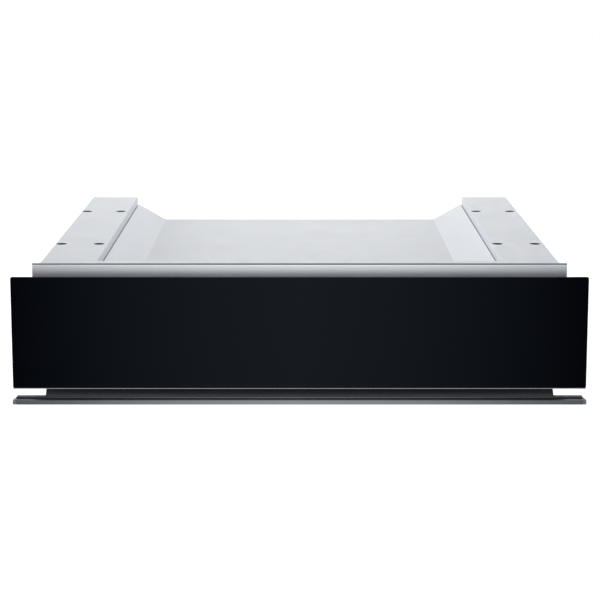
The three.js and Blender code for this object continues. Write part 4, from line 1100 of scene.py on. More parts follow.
# %% Back panel
INLET_X, INLET_Z, INLET_RADIUS = -215.0, 36.0, 9
BACK_SCREW_X, SCREW_HOLE = 257.5, 3.5
FIELD_WIDE, FIELD_HIGH = 64, 31  # half the width and half the height of the pressed field
BACK_SCREWS = [[side * BACK_SCREW_X, z] for side in (-1, 1) for z in (24, 73, 122)] + [[-150, 24], [150, 24]]
back_x, back_y, back_z = span_of("back_panel")
under, over = VALLEY_TOP - SHEET - 0.3, back_z[1] + 2
lean = (SLOPE_TOP - VALLEY_TOP) / SLOPE_RUN
half = valley + 0.34
panel = block("rear_panel", back_x, back_y, back_z)
trough = block("cutter", [-half, half], [back_y[0] - 1, back_y[1] + 1], [under, over])
edit(trough)
for way in (-1, 1):
    pick_along("y", x=way * half, z=over)
    push(x=way * (over - under) / lean)
close()
cut(panel, trough)
field_y = [back_y[1] - 0.5, back_y[1] + 1]
cut(panel, rounded_bar("cutter", around(0, FIELD_WIDE), field_y, around(FAN_Z, FIELD_HIGH), "y", 6))
slots = [long_hole("y", back_y, x, FAN_Z, 2, 23) for x in row(9, 12)]
holes = [hole("y", SCREW_HOLE, back_y, *place, 24) for place in BACK_SCREWS]
cut(panel, *slots, *holes, hole("y", INLET_RADIUS, back_y, INLET_X, INLET_Z))
finish(panel, "galvanised_steel", "back_panel", edge=0.15, angle=40)
add_screws("back_screw", "y", 1, back_y[1], BACK_SCREWS, FLAT_HEAD)

# %% [markdown]
# ## The bottom pan and the feet
# The pan is a sheet with upturned edges and three beads along it. The case stands on four turned rubber feet
# with a groove around them and a hollow tread.

# %% Bottom pan
PAN_BEADS, PAN_SLOTS, PAN_SLOT_Y = (-120, 0, 120), (-60, -180, 60, 180), 232
pan_x, pan_y, pan_z = span_of("bottom_pan")
line = [[pan_x[1], pan_z[1]], [pan_x[1], pan_z[0]], [pan_x[0], pan_z[0]], [pan_x[0], pan_z[1]]]
pan = folded_sheet("case_pan", line, pan_y, SHEET, bend=1.4)
for x in PAN_BEADS:
    weld(pan, rounded_bar("bead", around(x, 6), BEAD_Y, [pan_z[0] - 1, pan_z[0] + 0.5], "z", 5.9, 0.7, -1))
floor_z = around(pan_z[0], 2)
cut(pan, *[long_hole("z", floor_z, x, y, 14, 2) for x in PAN_SLOTS for y in row(5, 9, PAN_SLOT_Y)])
finish(pan, "galvanised_steel", "bottom_pan", edge=0.15, angle=40)

# %% Feet
FOOT = [
    [12.0, 12.7], [12.2, 11.2], [13.2, 10.2], [13.2, 8.2], [12.2, 7.2], [12.4, 5.6], [13.8, 4.4], [15.0, 3.4],
    [15.0, 1.0], [14.2, 0.0], [9.5, 0.0], [8.6, 1.2], [3.0, 1.2],
]
for name in ("front_left_foot", "front_right_foot", "rear_left_foot", "rear_right_foot"):
    foot_x, foot_y, _ = span_of(name)
    piece = turned(name + "_turned", "z", sum(foot_x) / 2, sum(foot_y) / 2, FOOT, 40)
    finish(piece, "foot_rubber", name)

# %% [markdown]
# ## The front's carrier and the buffers
# The glass is bonded to a folded carrier, with a stainless inner wall behind it. Four rubber buffers on the
# front frame take the closing drawer.

# %% Carrier
VENT_Y = -262.5
carrier_x, carrier_y, carrier_z = span_of("front_carrier")
carrier = block("front_carrier_box", carrier_x, carrier_y, carrier_z)
open_side(carrier, "y", 1)
edit(carrier)
rim, top = carrier_y[1] - 0.1, carrier_z[1]
pick_edges(lambda a, b: not (a.y > rim and b.y > rim) and a.z > top - 0.1)
bevel(1.4, 4)
close()
thicken(carrier, SHEET)
cut(carrier, *[long_hole("z", [top - 1, top], x, VENT_Y, 9, 1.9) for x in row(6, 90)])
finish(carrier, "zinced_steel", "front_carrier", body="drawer", edge=0.12)

# %% Inner wall of the drawer front
FRONT_SCREWS = [[x, z] for x in row(4, 140) for z in (44, 96)]
inner_x, inner_y, inner_z = span_of("drawer_front_wall")
inner_wall = rounded_bar("drawer_inner_wall", inner_x, inner_y, inner_z, "y", 3)
cut(inner_wall, *[hole("y", SCREW_HOLE, inner_y, *place, 24) for place in FRONT_SCREWS])
finish(inner_wall, "drawer_stainless", "drawer_front_wall", body="drawer", edge=0.15)
add_screws("front_screw", "y", 1, inner_y[1], FRONT_SCREWS, FLAT_HEAD, body="drawer")

# %% Buffers
BUFFER_X, BUFFER_HEIGHTS = 272.4, [["lower", 30], ["upper", 104]]
BUFFER = [[3.6, 0], [3.6, 1.2], [2.9, 2.0], [1.6, 2.35]]
for side, way in (("left", -1), ("right", 1)):
    for place, z in BUFFER_HEIGHTS:
        piece = turned(f"{side}_{place}_buffer", "y", way * BUFFER_X, z, BUFFER, 24, frame_y[0], -1)
        finish(piece, "foot_rubber")

# %% [markdown]
# ## The drawer box
# The sides are folded outwards at the top, the back has two rows of slots for the warm air, and the base
# carries a tinted glass plate with a studded silicone mat on it.

# %% Drawer sides
side_x, side_y, side_z = span_of("right_drawer_wall")
line = [[side_x[0], side_z[0]], [side_x[0], side_z[1]], [side_x[1], side_z[1]]]
drawer_side = folded_sheet("side", line, side_y, SHEET, bend=1.5)
break_edges(drawer_side, 0.2)
finish_pair(
    drawer_side, "{}_drawer_side", "drawer_stainless", "{}_drawer_wall", "drawer", "drawer_side_stainless"
)

# %% Drawer base
RIBS, RIB_HALF, RIB_END = row(5, 90), 4, 30
base_x, base_y, base_z = span_of("drawer_base_pan")
rib_y = base_y[0] + RIB_END, base_y[1] - RIB_END
base = block("drawer_base", base_x, base_y, base_z)
edit(base)
for x in RIBS:
    slice_at("x", x - RIB_HALF)
    slice_at("x", x + RIB_HALF)
for y in rib_y:
    slice_at("y", y)
pick_faces(lambda middle, normal: normal.z < -0.9 and rib_y[0] < middle.y < rib_y[1]
           and any(abs(middle.x - x) < RIB_HALF for x in RIBS))
inset(1.5, 0.6, each=True)
close()
break_edges(base, 0.15, angle=25)
finish(base, "drawer_stainless", "drawer_base_pan", body="drawer", look="drawer_side_stainless")

# %% Drawer back
rear_x, rear_y, rear_z = span_of("drawer_rear_wall")
rear = block("drawer_back", rear_x, rear_y, rear_z)
cut(rear, *[long_hole("y", rear_y, x, z, 14, 2) for x in row(10, 42) for z in (FAN_Z - 7, FAN_Z + 7)])
finish(rear, "drawer_stainless", "drawer_rear_wall", body="drawer", edge=0.15, angle=40)

# %% Glass plate
base_glass = rounded_bar("base_glass", *span_of("glass_base_plate"), "z", 6)
finish(base_glass, "clear_glass", "glass_base_plate", body="drawer", edge=0.5, segments=3)

# %% Mat
MAT_THICKNESS = 0.9
DOT_PITCH, ACROSS, DEEP = 16, 30, 26
mat_x, mat_y, mat_z = span_of("anti_slip_mat")
mat_top = mat_z[0] + MAT_THICKNESS
mat = rounded_bar("drawer_mat", mat_x, mat_y, [mat_z[0], mat_top], "z", 12)
break_edges(mat, 0.2)
corner = row(ACROSS, DOT_PITCH)[0], row(DEEP, DOT_PITCH, sum(mat_y) / 2)[0]
dot = turned("mat_dot", "z", *corner, [[3.0, mat_top - 0.05], [2.6, mat_z[1] - 0.15], [1.6, mat_z[1]]], 10)
for count, step in ((ACROSS, (DOT_PITCH * MM, 0, 0)), (DEEP, (0, DOT_PITCH * MM, 0))):
    apply_modifier(dot, "ARRAY", count=count, use_relative_offset=False, use_constant_offset=True,
                   constant_offset_displace=step)
finish(join(mat, dot), "mat_silicone", "anti_slip_mat", body="drawer")

# %% [markdown]
# ## The ball runners
# Each side has three channels, one inside the other, and two cages of balls between them. The fixed outer
# one is screwed to the case, the middle one floats, and the inner one carries the drawer. They are folded on
# the right, and mirrored to the left.

# %% Channels
RUNNER_SHEET = 1.2


def channel(web, lip, height, y, thickness, radius):
    """A channel whose web stands at an X and whose lips reach to another."""
    low, high = FAN_Z - height / 2, FAN_Z + height / 2
    line = [[lip, high], [web, high], [web, low], [lip, low]]
    return folded_sheet("channel", line, y, thickness if lip < web else -thickness, bend=radius)


for place, body in (("outer", "housing"), ("middle", "{}_middle_member"), ("inner", "drawer")):
    x, y, z = span_of(f"right_{place}_runner")
    web, lip = x if place == "inner" else x[::-1]
    runner = channel(web, lip, z[1] - z[0], y, RUNNER_SHEET, 1.9)
    middle_x = web + (0.6 if place == "inner" else -0.6)
    in_web = around(middle_x, 0.5)
    if place == "middle":
        slots = [long_hole("x", in_web, spot_y, FAN_Z, 30, 6) for spot_y in row(3, 140, sum(y) / 2)]
    else:
        ends = [y[0] + 16, y[0] + 120, y[1] - 150, y[1] - 20]
        slots = [long_hole("x", in_web, spot_y, FAN_Z, 6, 2.3) for spot_y in ends]
    cut(runner, *slots)
    break_edges(runner, 0.12)
    finish_pair(runner, "{}_" + place + "_channel", "zinced_steel", "{}_" + place + "_runner", body)

# %% [markdown]
# ### Ball cages
# A cage is a thin channel with a window for each ball. The windows are cut, and the balls sit in them with a
# little play, so they are parts of the same piece without touching it.

# %% Ball cages
CAGE_SHEET = 0.4
BALLS = 6
for place, ball, row_z in (("outer", 1.5, 19.62), ("inner", 1.2, 15.36)):
    x, y, z = span_of(f"right_{place}_ball_cage")
    ball_x = x[1] - CAGE_SHEET - 1 - ball
    ball_y = row(BALLS, (y[1] - y[0]) / BALLS, sum(y) / 2)
    seats = [[ball_x, spot_y, FAN_Z + way * row_z] for spot_y in ball_y for way in (-1, 1)]
    cage = channel(x[1], ball_x - ball / 2, 2 * row_z + CAGE_SHEET, y, CAGE_SHEET, 0.7)
    cut(cage, *[hole("z", ball + 0.2, [seat[2], seat[2]], *seat[:2], 16) for seat in seats])
    cut(cage, *[long_hole("x", [x[1] - 0.5, x[1]], spot_y, FAN_Z, 10, 8, 4) for spot_y in ball_y])
    bpy.ops.object.select_all(action="DESELECT")
    bpy.ops.mesh.primitive_uv_sphere_add(segments=16, ring_count=10, radius=ball * MM)
    join(cage, *repeat(settle(bpy.context.object, "ball"), seats))
    names = ["{}_" + place + ending for ending in ("_cage", "_ball_cage", "_balls")]
    finish_pair(cage, names[0], "zinced_steel", names[1], names[2])

# %% [markdown]
# ## The fan heater
# A partition closes the space behind the drawer. Air is drawn in through its middle slots, passes the
# impeller and the ring heater, and comes back through the slots at both sides.

# %% Partition
LOOM_RADIUS, LOOM_X, LOOM_Z = 3.0, 264.2, 95.5
LATCH_X, LATCH_BORE = 114.0, 3.3
part_x, part_y, part_z = span_of("rear_partition")
partition = block("fan_partition", part_x, part_y, part_z)
slots = [
    long_hole("y", part_y, x, FAN_Z, 2.5, half)
    for places, half in ((row(5, 11), 22), (row(8, 11, -175), 18), (row(8, 11, 175), 18)) for x in places
]
cut(partition, *slots, hole("y", LATCH_BORE, part_y, LATCH_X, FAN_Z))
through = [part_y[0] - 1, part_y[1] + 1]
cut(partition, block("cutter", [LOOM_X - 6, part_x[1] + 1], through, around(LOOM_Z, 6)))
finish(partition, "galvanised_steel", "rear_partition", edge=0.15, angle=40)

# %% Fan housing
LEG_X, LEG_Z = 9.0, 26.0
HOUSING_SCREWS = [[x, z] for x in (-84, 84) for z in (30, 98)]
house_x, house_y, house_z = span_of("fan_housing")
line = [
    [house_y[0], house_z[1]], [house_y[1], house_z[1]], [house_y[1], house_z[0]], [house_y[0], house_z[0]],
]
housing = folded_sheet("fan_scroll", line, house_x, SHEET, along="x", bend=2)
back_wall = [house_y[1] - 2, house_y[1]]
leg_holes = [hole("y", 3.8, back_wall, side * LEG_X, LEG_Z, 24) for side in (-1, 1)]
corner_holes = [hole("y", 2, back_wall, *place, 16) for place in HOUSING_SCREWS]
cut(housing, hole("y", 3, back_wall, 0, FAN_Z), *leg_holes, *corner_holes)
finish(housing, "galvanised_steel", "fan_housing", edge=0.15)

# %% Motor
MOTOR = [
    [2.3, 17.0], [2.3, 0.4], [2.8, 0.0], [11.4, 0.0], [12.0, 0.6], [12.0, 3.4], [12.8, 4.0], [21.5, 4.0],
    [24.0, 6.0], [24.0, 11.0], [26.0, 11.2], [26.0, 21.0], [24.0, 21.2], [24.0, 27.0], [21.5, 29.4],
    [9.0, 29.4], [8.4, 30.0],
]
PLATE_GAP = [[25.4, 12.0], [27.0, 12.0], [27.0, 12.5], [25.4, 12.5], [25.4, 12.0]]
GAP_STEPS = 0, 1.3, 2.6, 3.9, 5.2, 6.5, 7.8
COOLING_HOLES, COOLING_RADIUS = 8, 17
_, motor_y, _ = span_of("fan_motor")
motor = turned("fan_drive", "y", 0, FAN_Z, MOTOR, 48, motor_y[0])
cooling = post("cutter", "y", 2.4, [motor_y[0] + 3, motor_y[0] + 9], COOLING_RADIUS, FAN_Z, 20)
cut(motor, *ring_of(cooling, COOLING_HOLES, 0, FAN_Z, 0.2))
gap = turned("cutter", "y", 0, FAN_Z, PLATE_GAP, 48, motor_y[0])
cut(motor, *repeat(gap, [[0, step, 0] for step in GAP_STEPS]))
finish(motor, "zinced_steel", "fan_motor", edge=0.2)

# %% Shaft
_, shaft_y, _ = span_of("fan_shaft")
shaft = turned("fan_spindle", "y", 0, FAN_Z, [
    [1.6, shaft_y[0]], [2.0, shaft_y[0] + 0.4], [2.0, shaft_y[1] - 0.4], [1.6, shaft_y[1]],
], 24)
cut(shaft, block("cutter", [1.5, 3], [shaft_y[0] - 1, shaft_y[0] + 9], around(FAN_Z, 3)))
finish(shaft, "zinced_steel", "fan_shaft", body="fan")

# %% [markdown]
# The impeller is a disc with a hub, and nine blades that curve backwards. One blade is folded along a bent
# line, copied round the shaft and welded on.

# %% Impeller
BLADES = 9
# The radius and the angle of the points of a blade
BLADE = [(15.5, 0.62), (18.5, 0.50), (21.5, 0.35), (24.5, 0.19), (27.5, 0.04), (30.3, -0.10)]
_, wheel_y, _ = span_of("fan_impeller")
disc = wheel_y[1] - SHEET
impeller = turned("fan_wheel", "y", 0, FAN_Z, [
    [2.3, wheel_y[0]], [7.5, wheel_y[0]], [8.0, wheel_y[0] + 0.5], [8.0, disc - 0.8], [8.8, disc],
    [30.7, disc], [31.0, disc + 0.3], [31.0, wheel_y[1] - 0.3], [30.7, wheel_y[1]], [2.3, wheel_y[1]],
    [2.3, wheel_y[0]],
], 64)
curve = [[radius * math.sin(angle), FAN_Z + radius * math.cos(angle)] for radius, angle in BLADE]
blade = folded_sheet("blade", curve, [wheel_y[0], disc + 0.4], 0.9)
weld(impeller, *ring_of(blade, BLADES, 0, FAN_Z))
finish(impeller, "zinced_steel", "fan_impeller", body="fan", edge=0.12)

# %% [markdown]
# ## Tubes and wires
# A tube is a Bezier curve with a round bevel, turned into a mesh. Its handles are automatic, so it bends
# softly through every point. The heater's ring leaves a gap for its two legs.


# %% Tube
def tube(name, points, radius, smoothness):
    """A round tube through points."""
    bpy.ops.object.select_all(action="DESELECT")
    bpy.ops.curve.primitive_bezier_curve_add()
    path = bpy.context.object
    spline = path.data.splines[0]
    spline.bezier_points.add(len(points) - 2)
    for knot, point in zip(spline.bezier_points, points):
        knot.co = Vector(point) * MM
        knot.handle_left_type = knot.handle_right_type = "AUTO"
    path.data.resolution_u = smoothness
    path.data.bevel_depth = radius * MM
    path.data.bevel_resolution = 3
    path.data.use_fill_caps = True
    bpy.ops.object.convert(target="MESH")
    return face_out(settle(bpy.context.object, name))


# %% Heater
RING, TUBE, RING_STEPS = 38.0, 3.0, 20
ring_y = (wheel_y[0] + wheel_y[1]) / 2
leg_end = house_y[1] + 8
gap = math.asin(LEG_X / RING) + 0.08
turns = [-math.pi / 2 + gap + (2 * math.pi - 2 * gap) * i / RING_STEPS for i in range(RING_STEPS + 1)]
ring = [[RING * math.cos(turn), ring_y, FAN_Z + RING * math.sin(turn)] for turn in turns]
legs = [[[side * LEG_X, y, LEG_Z] for y in (leg_end, house_y[1] - 2, ring_y + 5)] for side in (1, -1)]
heater = tube("ring_heater", legs[0] + ring + legs[1][::-1], TUBE, 4)
finish(heater, "heater_steel", "heating_element", smooth=60)

# %% Nuts and pins of the heater
NUT = [[3.3, 0.1], [5.2, 0.1], [5.6, 0.5], [5.6, 2.6], [5.2, 3.0], [3.3, 3.0], [3.3, 0.1]]
PIN = [[2.0, 0], [2.0, 2.2], [1.0, 2.4], [1.0, 7.5], [0.7, 8]]
for side, way in (("left", -1), ("right", 1)):
    nut = turned(f"{side}_heater_nut", "y", way * LEG_X, LEG_Z, NUT, 6, house_y[1])
    finish(nut, "zinced_steel", smooth=20)
    finish(turned(f"{side}_heater_pin", "y", way * LEG_X, LEG_Z, PIN, 16, leg_end), "white_plastic")

# %% Thermal limiter
LIMITER = [[7.7, 0], [8.0, 0.3], [8.0, 1.4], [7.2, 1.8], [7.2, 6.2], [6.4, 7.0]]
limit_x, limit_y, limit_z = span_of("thermal_limiter")
middle_x, middle_z = sum(limit_x) / 2, sum(limit_z) / 2
limiter = turned("limiter_body", "y", middle_x, middle_z, LIMITER, 40, limit_y[0])
lug_z = around(middle_z, 0.4)
for x in row(2, 8, middle_x):
    lug = rounded_bar("lug", around(x, 1.5), [limit_y[0] + 6, limit_y[1]], lug_z, "z", 0.7)
    weld(limiter, cut(lug, hole("z", 0.8, [middle_z, middle_z], x, limit_y[1] - 2.2, 16)))
finish(limiter, "white_plastic", "thermal_limiter")

# %% [markdown]
# ## The touch latch
# The drawer has no handle. Pressing the closed front pushes the plunger of this latch, which lets the drawer
# go.

# %% Latch body
latch_x, latch_y, latch_z = span_of("push_latch_body")
latch = rounded_bar("latch_housing", latch_x, [latch_y[0], latch_y[0] + 20], latch_z, "y", 1.6)
barrel = turned("barrel", "y", LATCH_X, FAN_Z, [
    [7.2, latch_y[0] + 19], [7.2, latch_y[1] - 3], [6.6, latch_y[1] - 2.8], [6.6, latch_y[1] - 1],
    [5.8, latch_y[1]],
], 40)
weld(latch, barrel)
ribs = [block("cutter", around(x, 1.1), [latch_y[0] + 4, latch_y[0] + 17], around(z, 0.7))
        for x in row(5, 4.4, LATCH_X) for z in latch_z]
cut(latch, post("cutter", "y", LATCH_BORE, [latch_y[0] - 1, latch_y[0] + 27.2], LATCH_X, FAN_Z), *ribs)
finish(latch, "grey_plastic", "push_latch_body", edge=0.25, angle=40)

# %% Latch plunger
_, (tip, tail), _ = span_of("push_latch_plunger")
plunger = turned("latch_plunger", "y", LATCH_X, FAN_Z, [
    [2.6, tail], [3.0, tail - 0.5], [3.0, tip + 1.5], [2.7, tip + 0.7], [2.0, tip + 0.2], [1.0, tip],
])
finish(plunger, "white_plastic", "push_latch_plunger", body="push_latch_plunger")

# %% [markdown]
# ## The electrics
# A plastic box behind the partition holds the control board, a terminal block takes the mains, and three
# looms join them to the fan and to the front controls.

# %% Control box
BOX_WALL = 2
box_x, box_y, box_z = span_of("control_box")
box = block("electronics_box", box_x, box_y, box_z)
open_side(box, "z", 1)
edit(box)
rim = box_z[1] - 0.1
pick_edges(lambda a, b: not (a.z > rim and b.z > rim))
bevel(2.5, 4)
close()
thicken(box, BOX_WALL)
vents = [block("cutter", [box_x[0] - 1, box_x[0] + 3], around(y, 1.2), [box_z[0] + 27, box_z[0] + 35])
         for y in row(5, 5, box_y[1] - 16)]
vents += [block("cutter", around(x, 1.2), [box_y[0] - 1, box_y[0] + 3], [box_z[0] + 10, box_z[0] + 30])
          for x in row(12, 6, sum(box_x) / 2)]
cut(box, *vents)
finish(box, "grey_plastic", "control_box", edge=0.25)

# %% Lid and its screws
lid_x, lid_y, lid_z = span_of("control_box_lid")
lid_top = lid_z[1]
LID_SCREWS = [[x, y] for x in (lid_x[0] + 8, lid_x[1] - 8) for y in (lid_y[0] + 8, lid_y[1] - 8)]
lid = rounded_bar("electronics_lid", lid_x, lid_y, lid_z, "z", 2.6, 0.6)
field_x, field_y = [lid_x[0] + 16, lid_x[0] + 84], [lid_y[0] + 9, lid_y[1] - 9]
cut(lid, rounded_bar("cutter", field_x, field_y, [lid_top - 0.6, lid_top + 1], "z", 3))
cut(lid, *[post("cutter", "z", 3.6, [lid_top - 1.2, lid_top + 1], *place, 24) for place in LID_SCREWS])
vent_x, vent_y = row(10, 6, lid_x[0] + 50), row(2, 21, sum(lid_y) / 2)
cut(lid, *[long_hole("z", lid_z, x, y, 1.2, 8) for x in vent_x for y in vent_y])
finish(lid, "grey_plastic", "control_box_lid", edge=0.2)
add_screws("lid_screw", "z", 1, lid_top, LID_SCREWS, LID_HEAD)

# %% Board
board_x, board_y, board_z = span_of("control_board")
BOARD_THICKNESS = 1.6
BOARD_TOP = board_z[0] + BOARD_THICKNESS
board_corners = [[x, y] for x in (board_x[0] + 4, board_x[1] - 4) for y in (board_y[0] + 4, board_y[1] - 4)]
board = rounded_bar("printed_board", board_x, board_y, [board_z[0], BOARD_TOP], "z", 1)
cut(board, *[hole("z", 1.8, [board_z[0], BOARD_TOP], *place, 20) for place in board_corners])
finish(board, "circuit_board", "control_board", edge=0.1, segments=1)


# %% Parts on the board
def above_board(low, high):
    """A [low, high] pair of heights above the board."""
    return [BOARD_TOP + low, BOARD_TOP + high]


x, y = board_x[0] + 8, board_y[0] + 8
relay = rounded_bar("board_relay", [x, x + 18], [y, y + 28], above_board(0, 16), "z", 1, 0.5)
cut(relay, post("cutter", "z", 1, above_board(15.5, 17), x + 3, y + 3, 16))
finish(relay, "black_plastic")
CORE_X, CORE_Y = [board_x[1] - 39, board_x[1] - 7], [board_y[0] + 7, board_y[0] + 39]
core = block("board_transformer", [CORE_X[0] + 4, CORE_X[1] - 4], CORE_Y, above_board(0, 24))
weld(core, rounded_bar("coil", CORE_X, [CORE_Y[0] + 6, CORE_Y[1] - 6], above_board(4, 20), "y", 4))
cut(core, *[block("cutter", CORE_X, around(y, 0.25), above_board(23.2, 25))
            for y in row(7, 4, sum(CORE_Y) / 2)])
finish(core, "dark_steel", edge=0.3, angle=40)
CAN = [
    [5.6, 0], [6.0, 0.5], [6.0, 1.6], [5.6, 2.1], [6.0, 2.6], [6.0, 19.4], [5.4, 20.0], [4.8, 19.7],
    [2.0, 19.7],
]
can = turned("board_capacitor", "z", board_x[0] + 48, board_y[0] + 20, CAN, start=BOARD_TOP)
finish(can, "zinced_steel")
for index, x in enumerate((board_x[0] + 34, board_x[0] + 62)):
    y = board_y[1] - 12
    plug = block(f"board_connector_{index + 1}", around(x, 9), around(y, 4), above_board(0, 8))
    cut(plug, *[block("cutter", around(pin, 1.3), around(y, 2.6), above_board(2, 9))
                for pin in row(5, 3.4, x)])
    finish(plug, "white_plastic", edge=0.2)

# %% Terminal block
term_x, term_y, (term_low, term_top) = span_of("terminal_block")
TERM_X, TERM_Y = sum(term_x) / 2, sum(term_y) / 2
WELLS = row(3, (term_x[1] - term_x[0]) / 3, TERM_X)
terminal = rounded_bar("mains_terminal", term_x, term_y, [term_low, term_top], "z", 0.8, 0.4)
cut(terminal, *[post("cutter", "z", 4, [term_top - 6, term_top + 1], x, TERM_Y, 28) for x in WELLS])
cut(terminal, *[long_hole("y", around(y, 2), x, term_low + 6.5, 4, 3.5, 1.5)
                for x in WELLS for y in term_y])
notch_y, notch_z = [term_y[0] - 1, term_y[1] + 1], [term_top - 4, term_top + 1]
cut(terminal, *[block("cutter", around(x, 0.6), notch_y, notch_z)
                for x in ((WELLS[0] + WELLS[1]) / 2, (WELLS[1] + WELLS[2]) / 2)])
finish(terminal, "white_plastic", "terminal_block", edge=0.25, angle=40)
add_screws("terminal_screw", "z", 1, term_top, [[x, TERM_Y] for x in WELLS], WELL_HEAD)

# %% Cable bush
_, (bush_front, bush_back), _ = span_of("cable_bush")
bush = turned("inlet_bush", "y", INLET_X, INLET_Z, [
    [5.0, bush_front + 0.6], [5.6, bush_front], [10.4, bush_front], [11.0, bush_front + 0.6],
    [11.0, bush_front + 1.5], [10.5, bush_front + 2.0], [8.7, bush_front + 2.0], [8.7, bush_back - 0.4],
    [8.2, bush_back], [5.6, bush_back], [5.0, bush_back - 0.6], [5.0, bush_front + 0.6],
], 40)
finish(bush, "foot_rubber", "cable_bush")

# %% Looms
BOX_MIDDLE = sum(box_y) / 2
MAINS_Z, FAN_LOOM_Z = term_low + LOOM_RADIUS + 5, box_z[0] + 24
MOTOR_SIDE, MOTOR_MIDDLE = 26.3, motor_y[0] + 17
LOOMS = {
    "mains": [
        [term_x[1] + 0.3, TERM_Y, MAINS_Z], [term_x[1] + 18, TERM_Y, MAINS_Z], [-121, 252, MAINS_Z - 3],
        [-20, 265, MAINS_Z - 4], [60, 262, MAINS_Z - 3], [box_x[0] - 26, BOX_MIDDLE + 4, MAINS_Z],
        [box_x[0] - 8, BOX_MIDDLE, MAINS_Z], [box_x[0] - 0.3, BOX_MIDDLE, MAINS_Z],
    ],
    "fan": [
        [MOTOR_SIDE, MOTOR_MIDDLE, FAN_Z], [MOTOR_SIDE + 8, MOTOR_MIDDLE, FAN_Z],
        [MOTOR_SIDE + 32, MOTOR_MIDDLE, FAN_Z - 16], [box_x[0] - 24.3, MOTOR_MIDDLE, FAN_LOOM_Z],
        [box_x[0] - 8.3, MOTOR_MIDDLE, FAN_LOOM_Z], [box_x[0] - 0.3, MOTOR_MIDDLE, FAN_LOOM_Z],
    ],
    "front": [
        [box_x[1] - 20, 220.6, lid_top + 0.3], [box_x[1] - 20, 220.6, lid_top + 12],
        [box_x[1] - 8, 208.6, LOOM_Z - 4], [LOOM_X, part_y[1], LOOM_Z], [LOOM_X, part_y[0] - 30, LOOM_Z],
        [LOOM_X, 60, LOOM_Z], [LOOM_X, -100, LOOM_Z], [LOOM_X, -140, LOOM_Z + 4],
        [LOOM_X - 1, -165, CONTROL_Z - 5], [KNOB_X + 22, -185, CONTROL_Z], [KNOB_X + 8, -202.2, CONTROL_Z],
        [KNOB_X + 8, -214.2, CONTROL_Z], [KNOB_X + 8, -223.9, CONTROL_Z],
    ],
}
for name, points in LOOMS.items():
    loom = tube(f"{name}_wiring", points, LOOM_RADIUS, 8)
    finish(loom, "black_plastic", f"{name}_loom", smooth=60)

# %% [markdown]
# ## The controls on the frame
# They sit above the drawer opening on the right and are reached with the drawer open: a small panel with a
# temperature knob, a signal lamp and a power button.

# %% Control panel
MARKS, MARK_BELOW = 12, 6  # the mark straight below the knob is left out
panel_x, panel_y, panel_z = span_of("control_fascia")
lens_x, lens_y, _ = span_of("indicator_lens")
LENS_X = sum(lens_x) / 2
fascia = rounded_bar("control_panel", panel_x, panel_y, panel_z, "y", 2.2, 0.4, -1)
HOLES = [[KNOB_HOLE, KNOB_X, 32], [BUTTON_HOLE, BUTTON_X, 32], [2.3, LENS_X, 24]]
cut(fascia, *[hole("y", radius, panel_y, x, CONTROL_Z, sides) for radius, x, sides in HOLES])
finish(fascia, "black_plastic", "control_fascia", edge=0.12)
mark = rounded_bar("mark", around(KNOB_X, 0.2), [panel_y[0] - 0.06, panel_y[0] + 0.2],
                   [CONTROL_Z + 7.35, CONTROL_Z + 8.0], "y", 0.15)
marks = ring_of(mark, MARKS, KNOB_X, CONTROL_Z)
bpy.data.objects.remove(marks.pop(MARK_BELOW))
scale = join(*marks)
rename(scale, "panel_scale")
finish(scale, "white_plastic")

# %% Knob
KNOB_RIBS = 20
KNOB_BACK, KNOB_FACE = panel_y[0] - 0.3, panel_y[0] - 9.3
_, (knob_tip, knob_end), _ = span_of("thermostat_knob")
knob = turned("temperature_knob", "y", KNOB_X, CONTROL_Z, [
    [2.7, knob_end], [3.0, knob_end - 0.3], [3.0, KNOB_BACK], [6.6, KNOB_BACK], [7.0, KNOB_BACK - 0.4],
    [7.0, KNOB_BACK - 1.6], [6.5, KNOB_BACK - 2.2], [6.3, KNOB_FACE + 0.9], [5.6, KNOB_FACE + 0.2],
    [4.4, KNOB_FACE], [3.8, KNOB_FACE + 0.25],
], 48)
rib = rounded_bar("rib", around(KNOB_X, 0.35), [KNOB_FACE + 1.2, KNOB_BACK - 1.8],
                  [CONTROL_Z + 5.6, CONTROL_Z + 6.75], "y", 0.3)
pointer = rounded_bar("pointer", around(KNOB_X, 1.2), [knob_tip, KNOB_BACK - 3],
                      [CONTROL_Z, CONTROL_Z + 7.6], "y", 0.8, 0.4, -1)
weld(knob, *ring_of(rib, KNOB_RIBS, KNOB_X, CONTROL_Z, math.pi / KNOB_RIBS), pointer)
finish(knob, "black_plastic", "thermostat_knob", body="thermostat_knob")
line_mark = rounded_bar("knob_mark", around(KNOB_X, 0.3), [knob_tip - 0.03, knob_tip + 0.47],
                        [CONTROL_Z + 2, CONTROL_Z + 7.1], "y", 0.2)
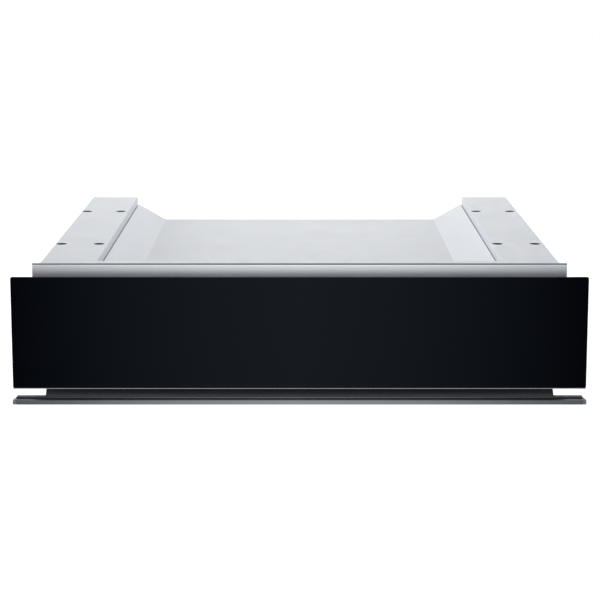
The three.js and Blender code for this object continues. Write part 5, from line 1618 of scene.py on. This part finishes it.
finish(line_mark, "white_plastic", body="thermostat_knob")

# %% Button and lens
front, back = press_y
button = turned("power_key", "y", BUTTON_X, CONTROL_Z, [
    [3.6, back], [4.0, back - 0.4], [4.0, front + 0.6], [3.8, front + 0.2], [3.4, front], [2.9, front],
    [2.6, front + 0.2], [1.2, front + 0.35],
], 40)
finish(button, "grey_plastic", "power_button", body="power_button")
front, back = lens_y
lens = turned("signal_lens", "y", LENS_X, CONTROL_Z, [
    [2.0, back], [2.0, front + 0.45], [1.8, front + 0.2], [1.4, front + 0.06], [0.7, front],
])
finish(lens, "indicator_amber", "indicator_lens")

# %% Thermostat body
stat_x, (front, back), stat_z = span_of("thermostat_body")
stat = rounded_bar("thermostat_case", stat_x, [front, front + 1.6], stat_z, "y", 1.5)
for left, right, y, rim, radius in (
    [stat_x[0] + 1.5, stat_x[1] - 1.5, [front + 1, back - 6], 1, 1.5],
    [stat_x[0] + 4, stat_x[1] - 1.5, [back - 7, back], 3, 1],
):
    weld(stat, rounded_bar("core", [left, right], y, [stat_z[0] + rim, stat_z[1] - rim], "y", radius))
finish(stat, "white_plastic", "thermostat_body", edge=0.25)

# %% Switch body
key_x, (front, back), key_z = span_of("power_switch_body")
switch = rounded_bar("switch_case", key_x, [front, back - 5], key_z, "y", 0.8)
lug_y, lug_z = [back - 6, back], around(CONTROL_Z, 1.5)
for x in row(2, 5, sum(key_x) / 2):
    weld(switch, rounded_bar("lug", around(x, 0.4), lug_y, lug_z, "x", 0.7))
finish(switch, "white_plastic", "power_switch_body", edge=0.2)

# %% [markdown]
# ## Finishes of the nodes that keep their shape
# Every node gets the finish of its slot, which shows only where no finer piece has replaced the node. The
# count says how many those are.

# %% Nodes that keep their shape
kept = 0
for entry in frame["record"]["subparts"]:
    node = nodes[entry["node"]]
    node.data.materials.clear()
    node.data.materials.append(FINISH[entry["material_slot"]])
    kept += not node.hide_render
print("nodes that keep their shape:", kept)

# %% View transform and the end of the lesson
bpy.context.scene.view_settings.view_transform = "Standard"
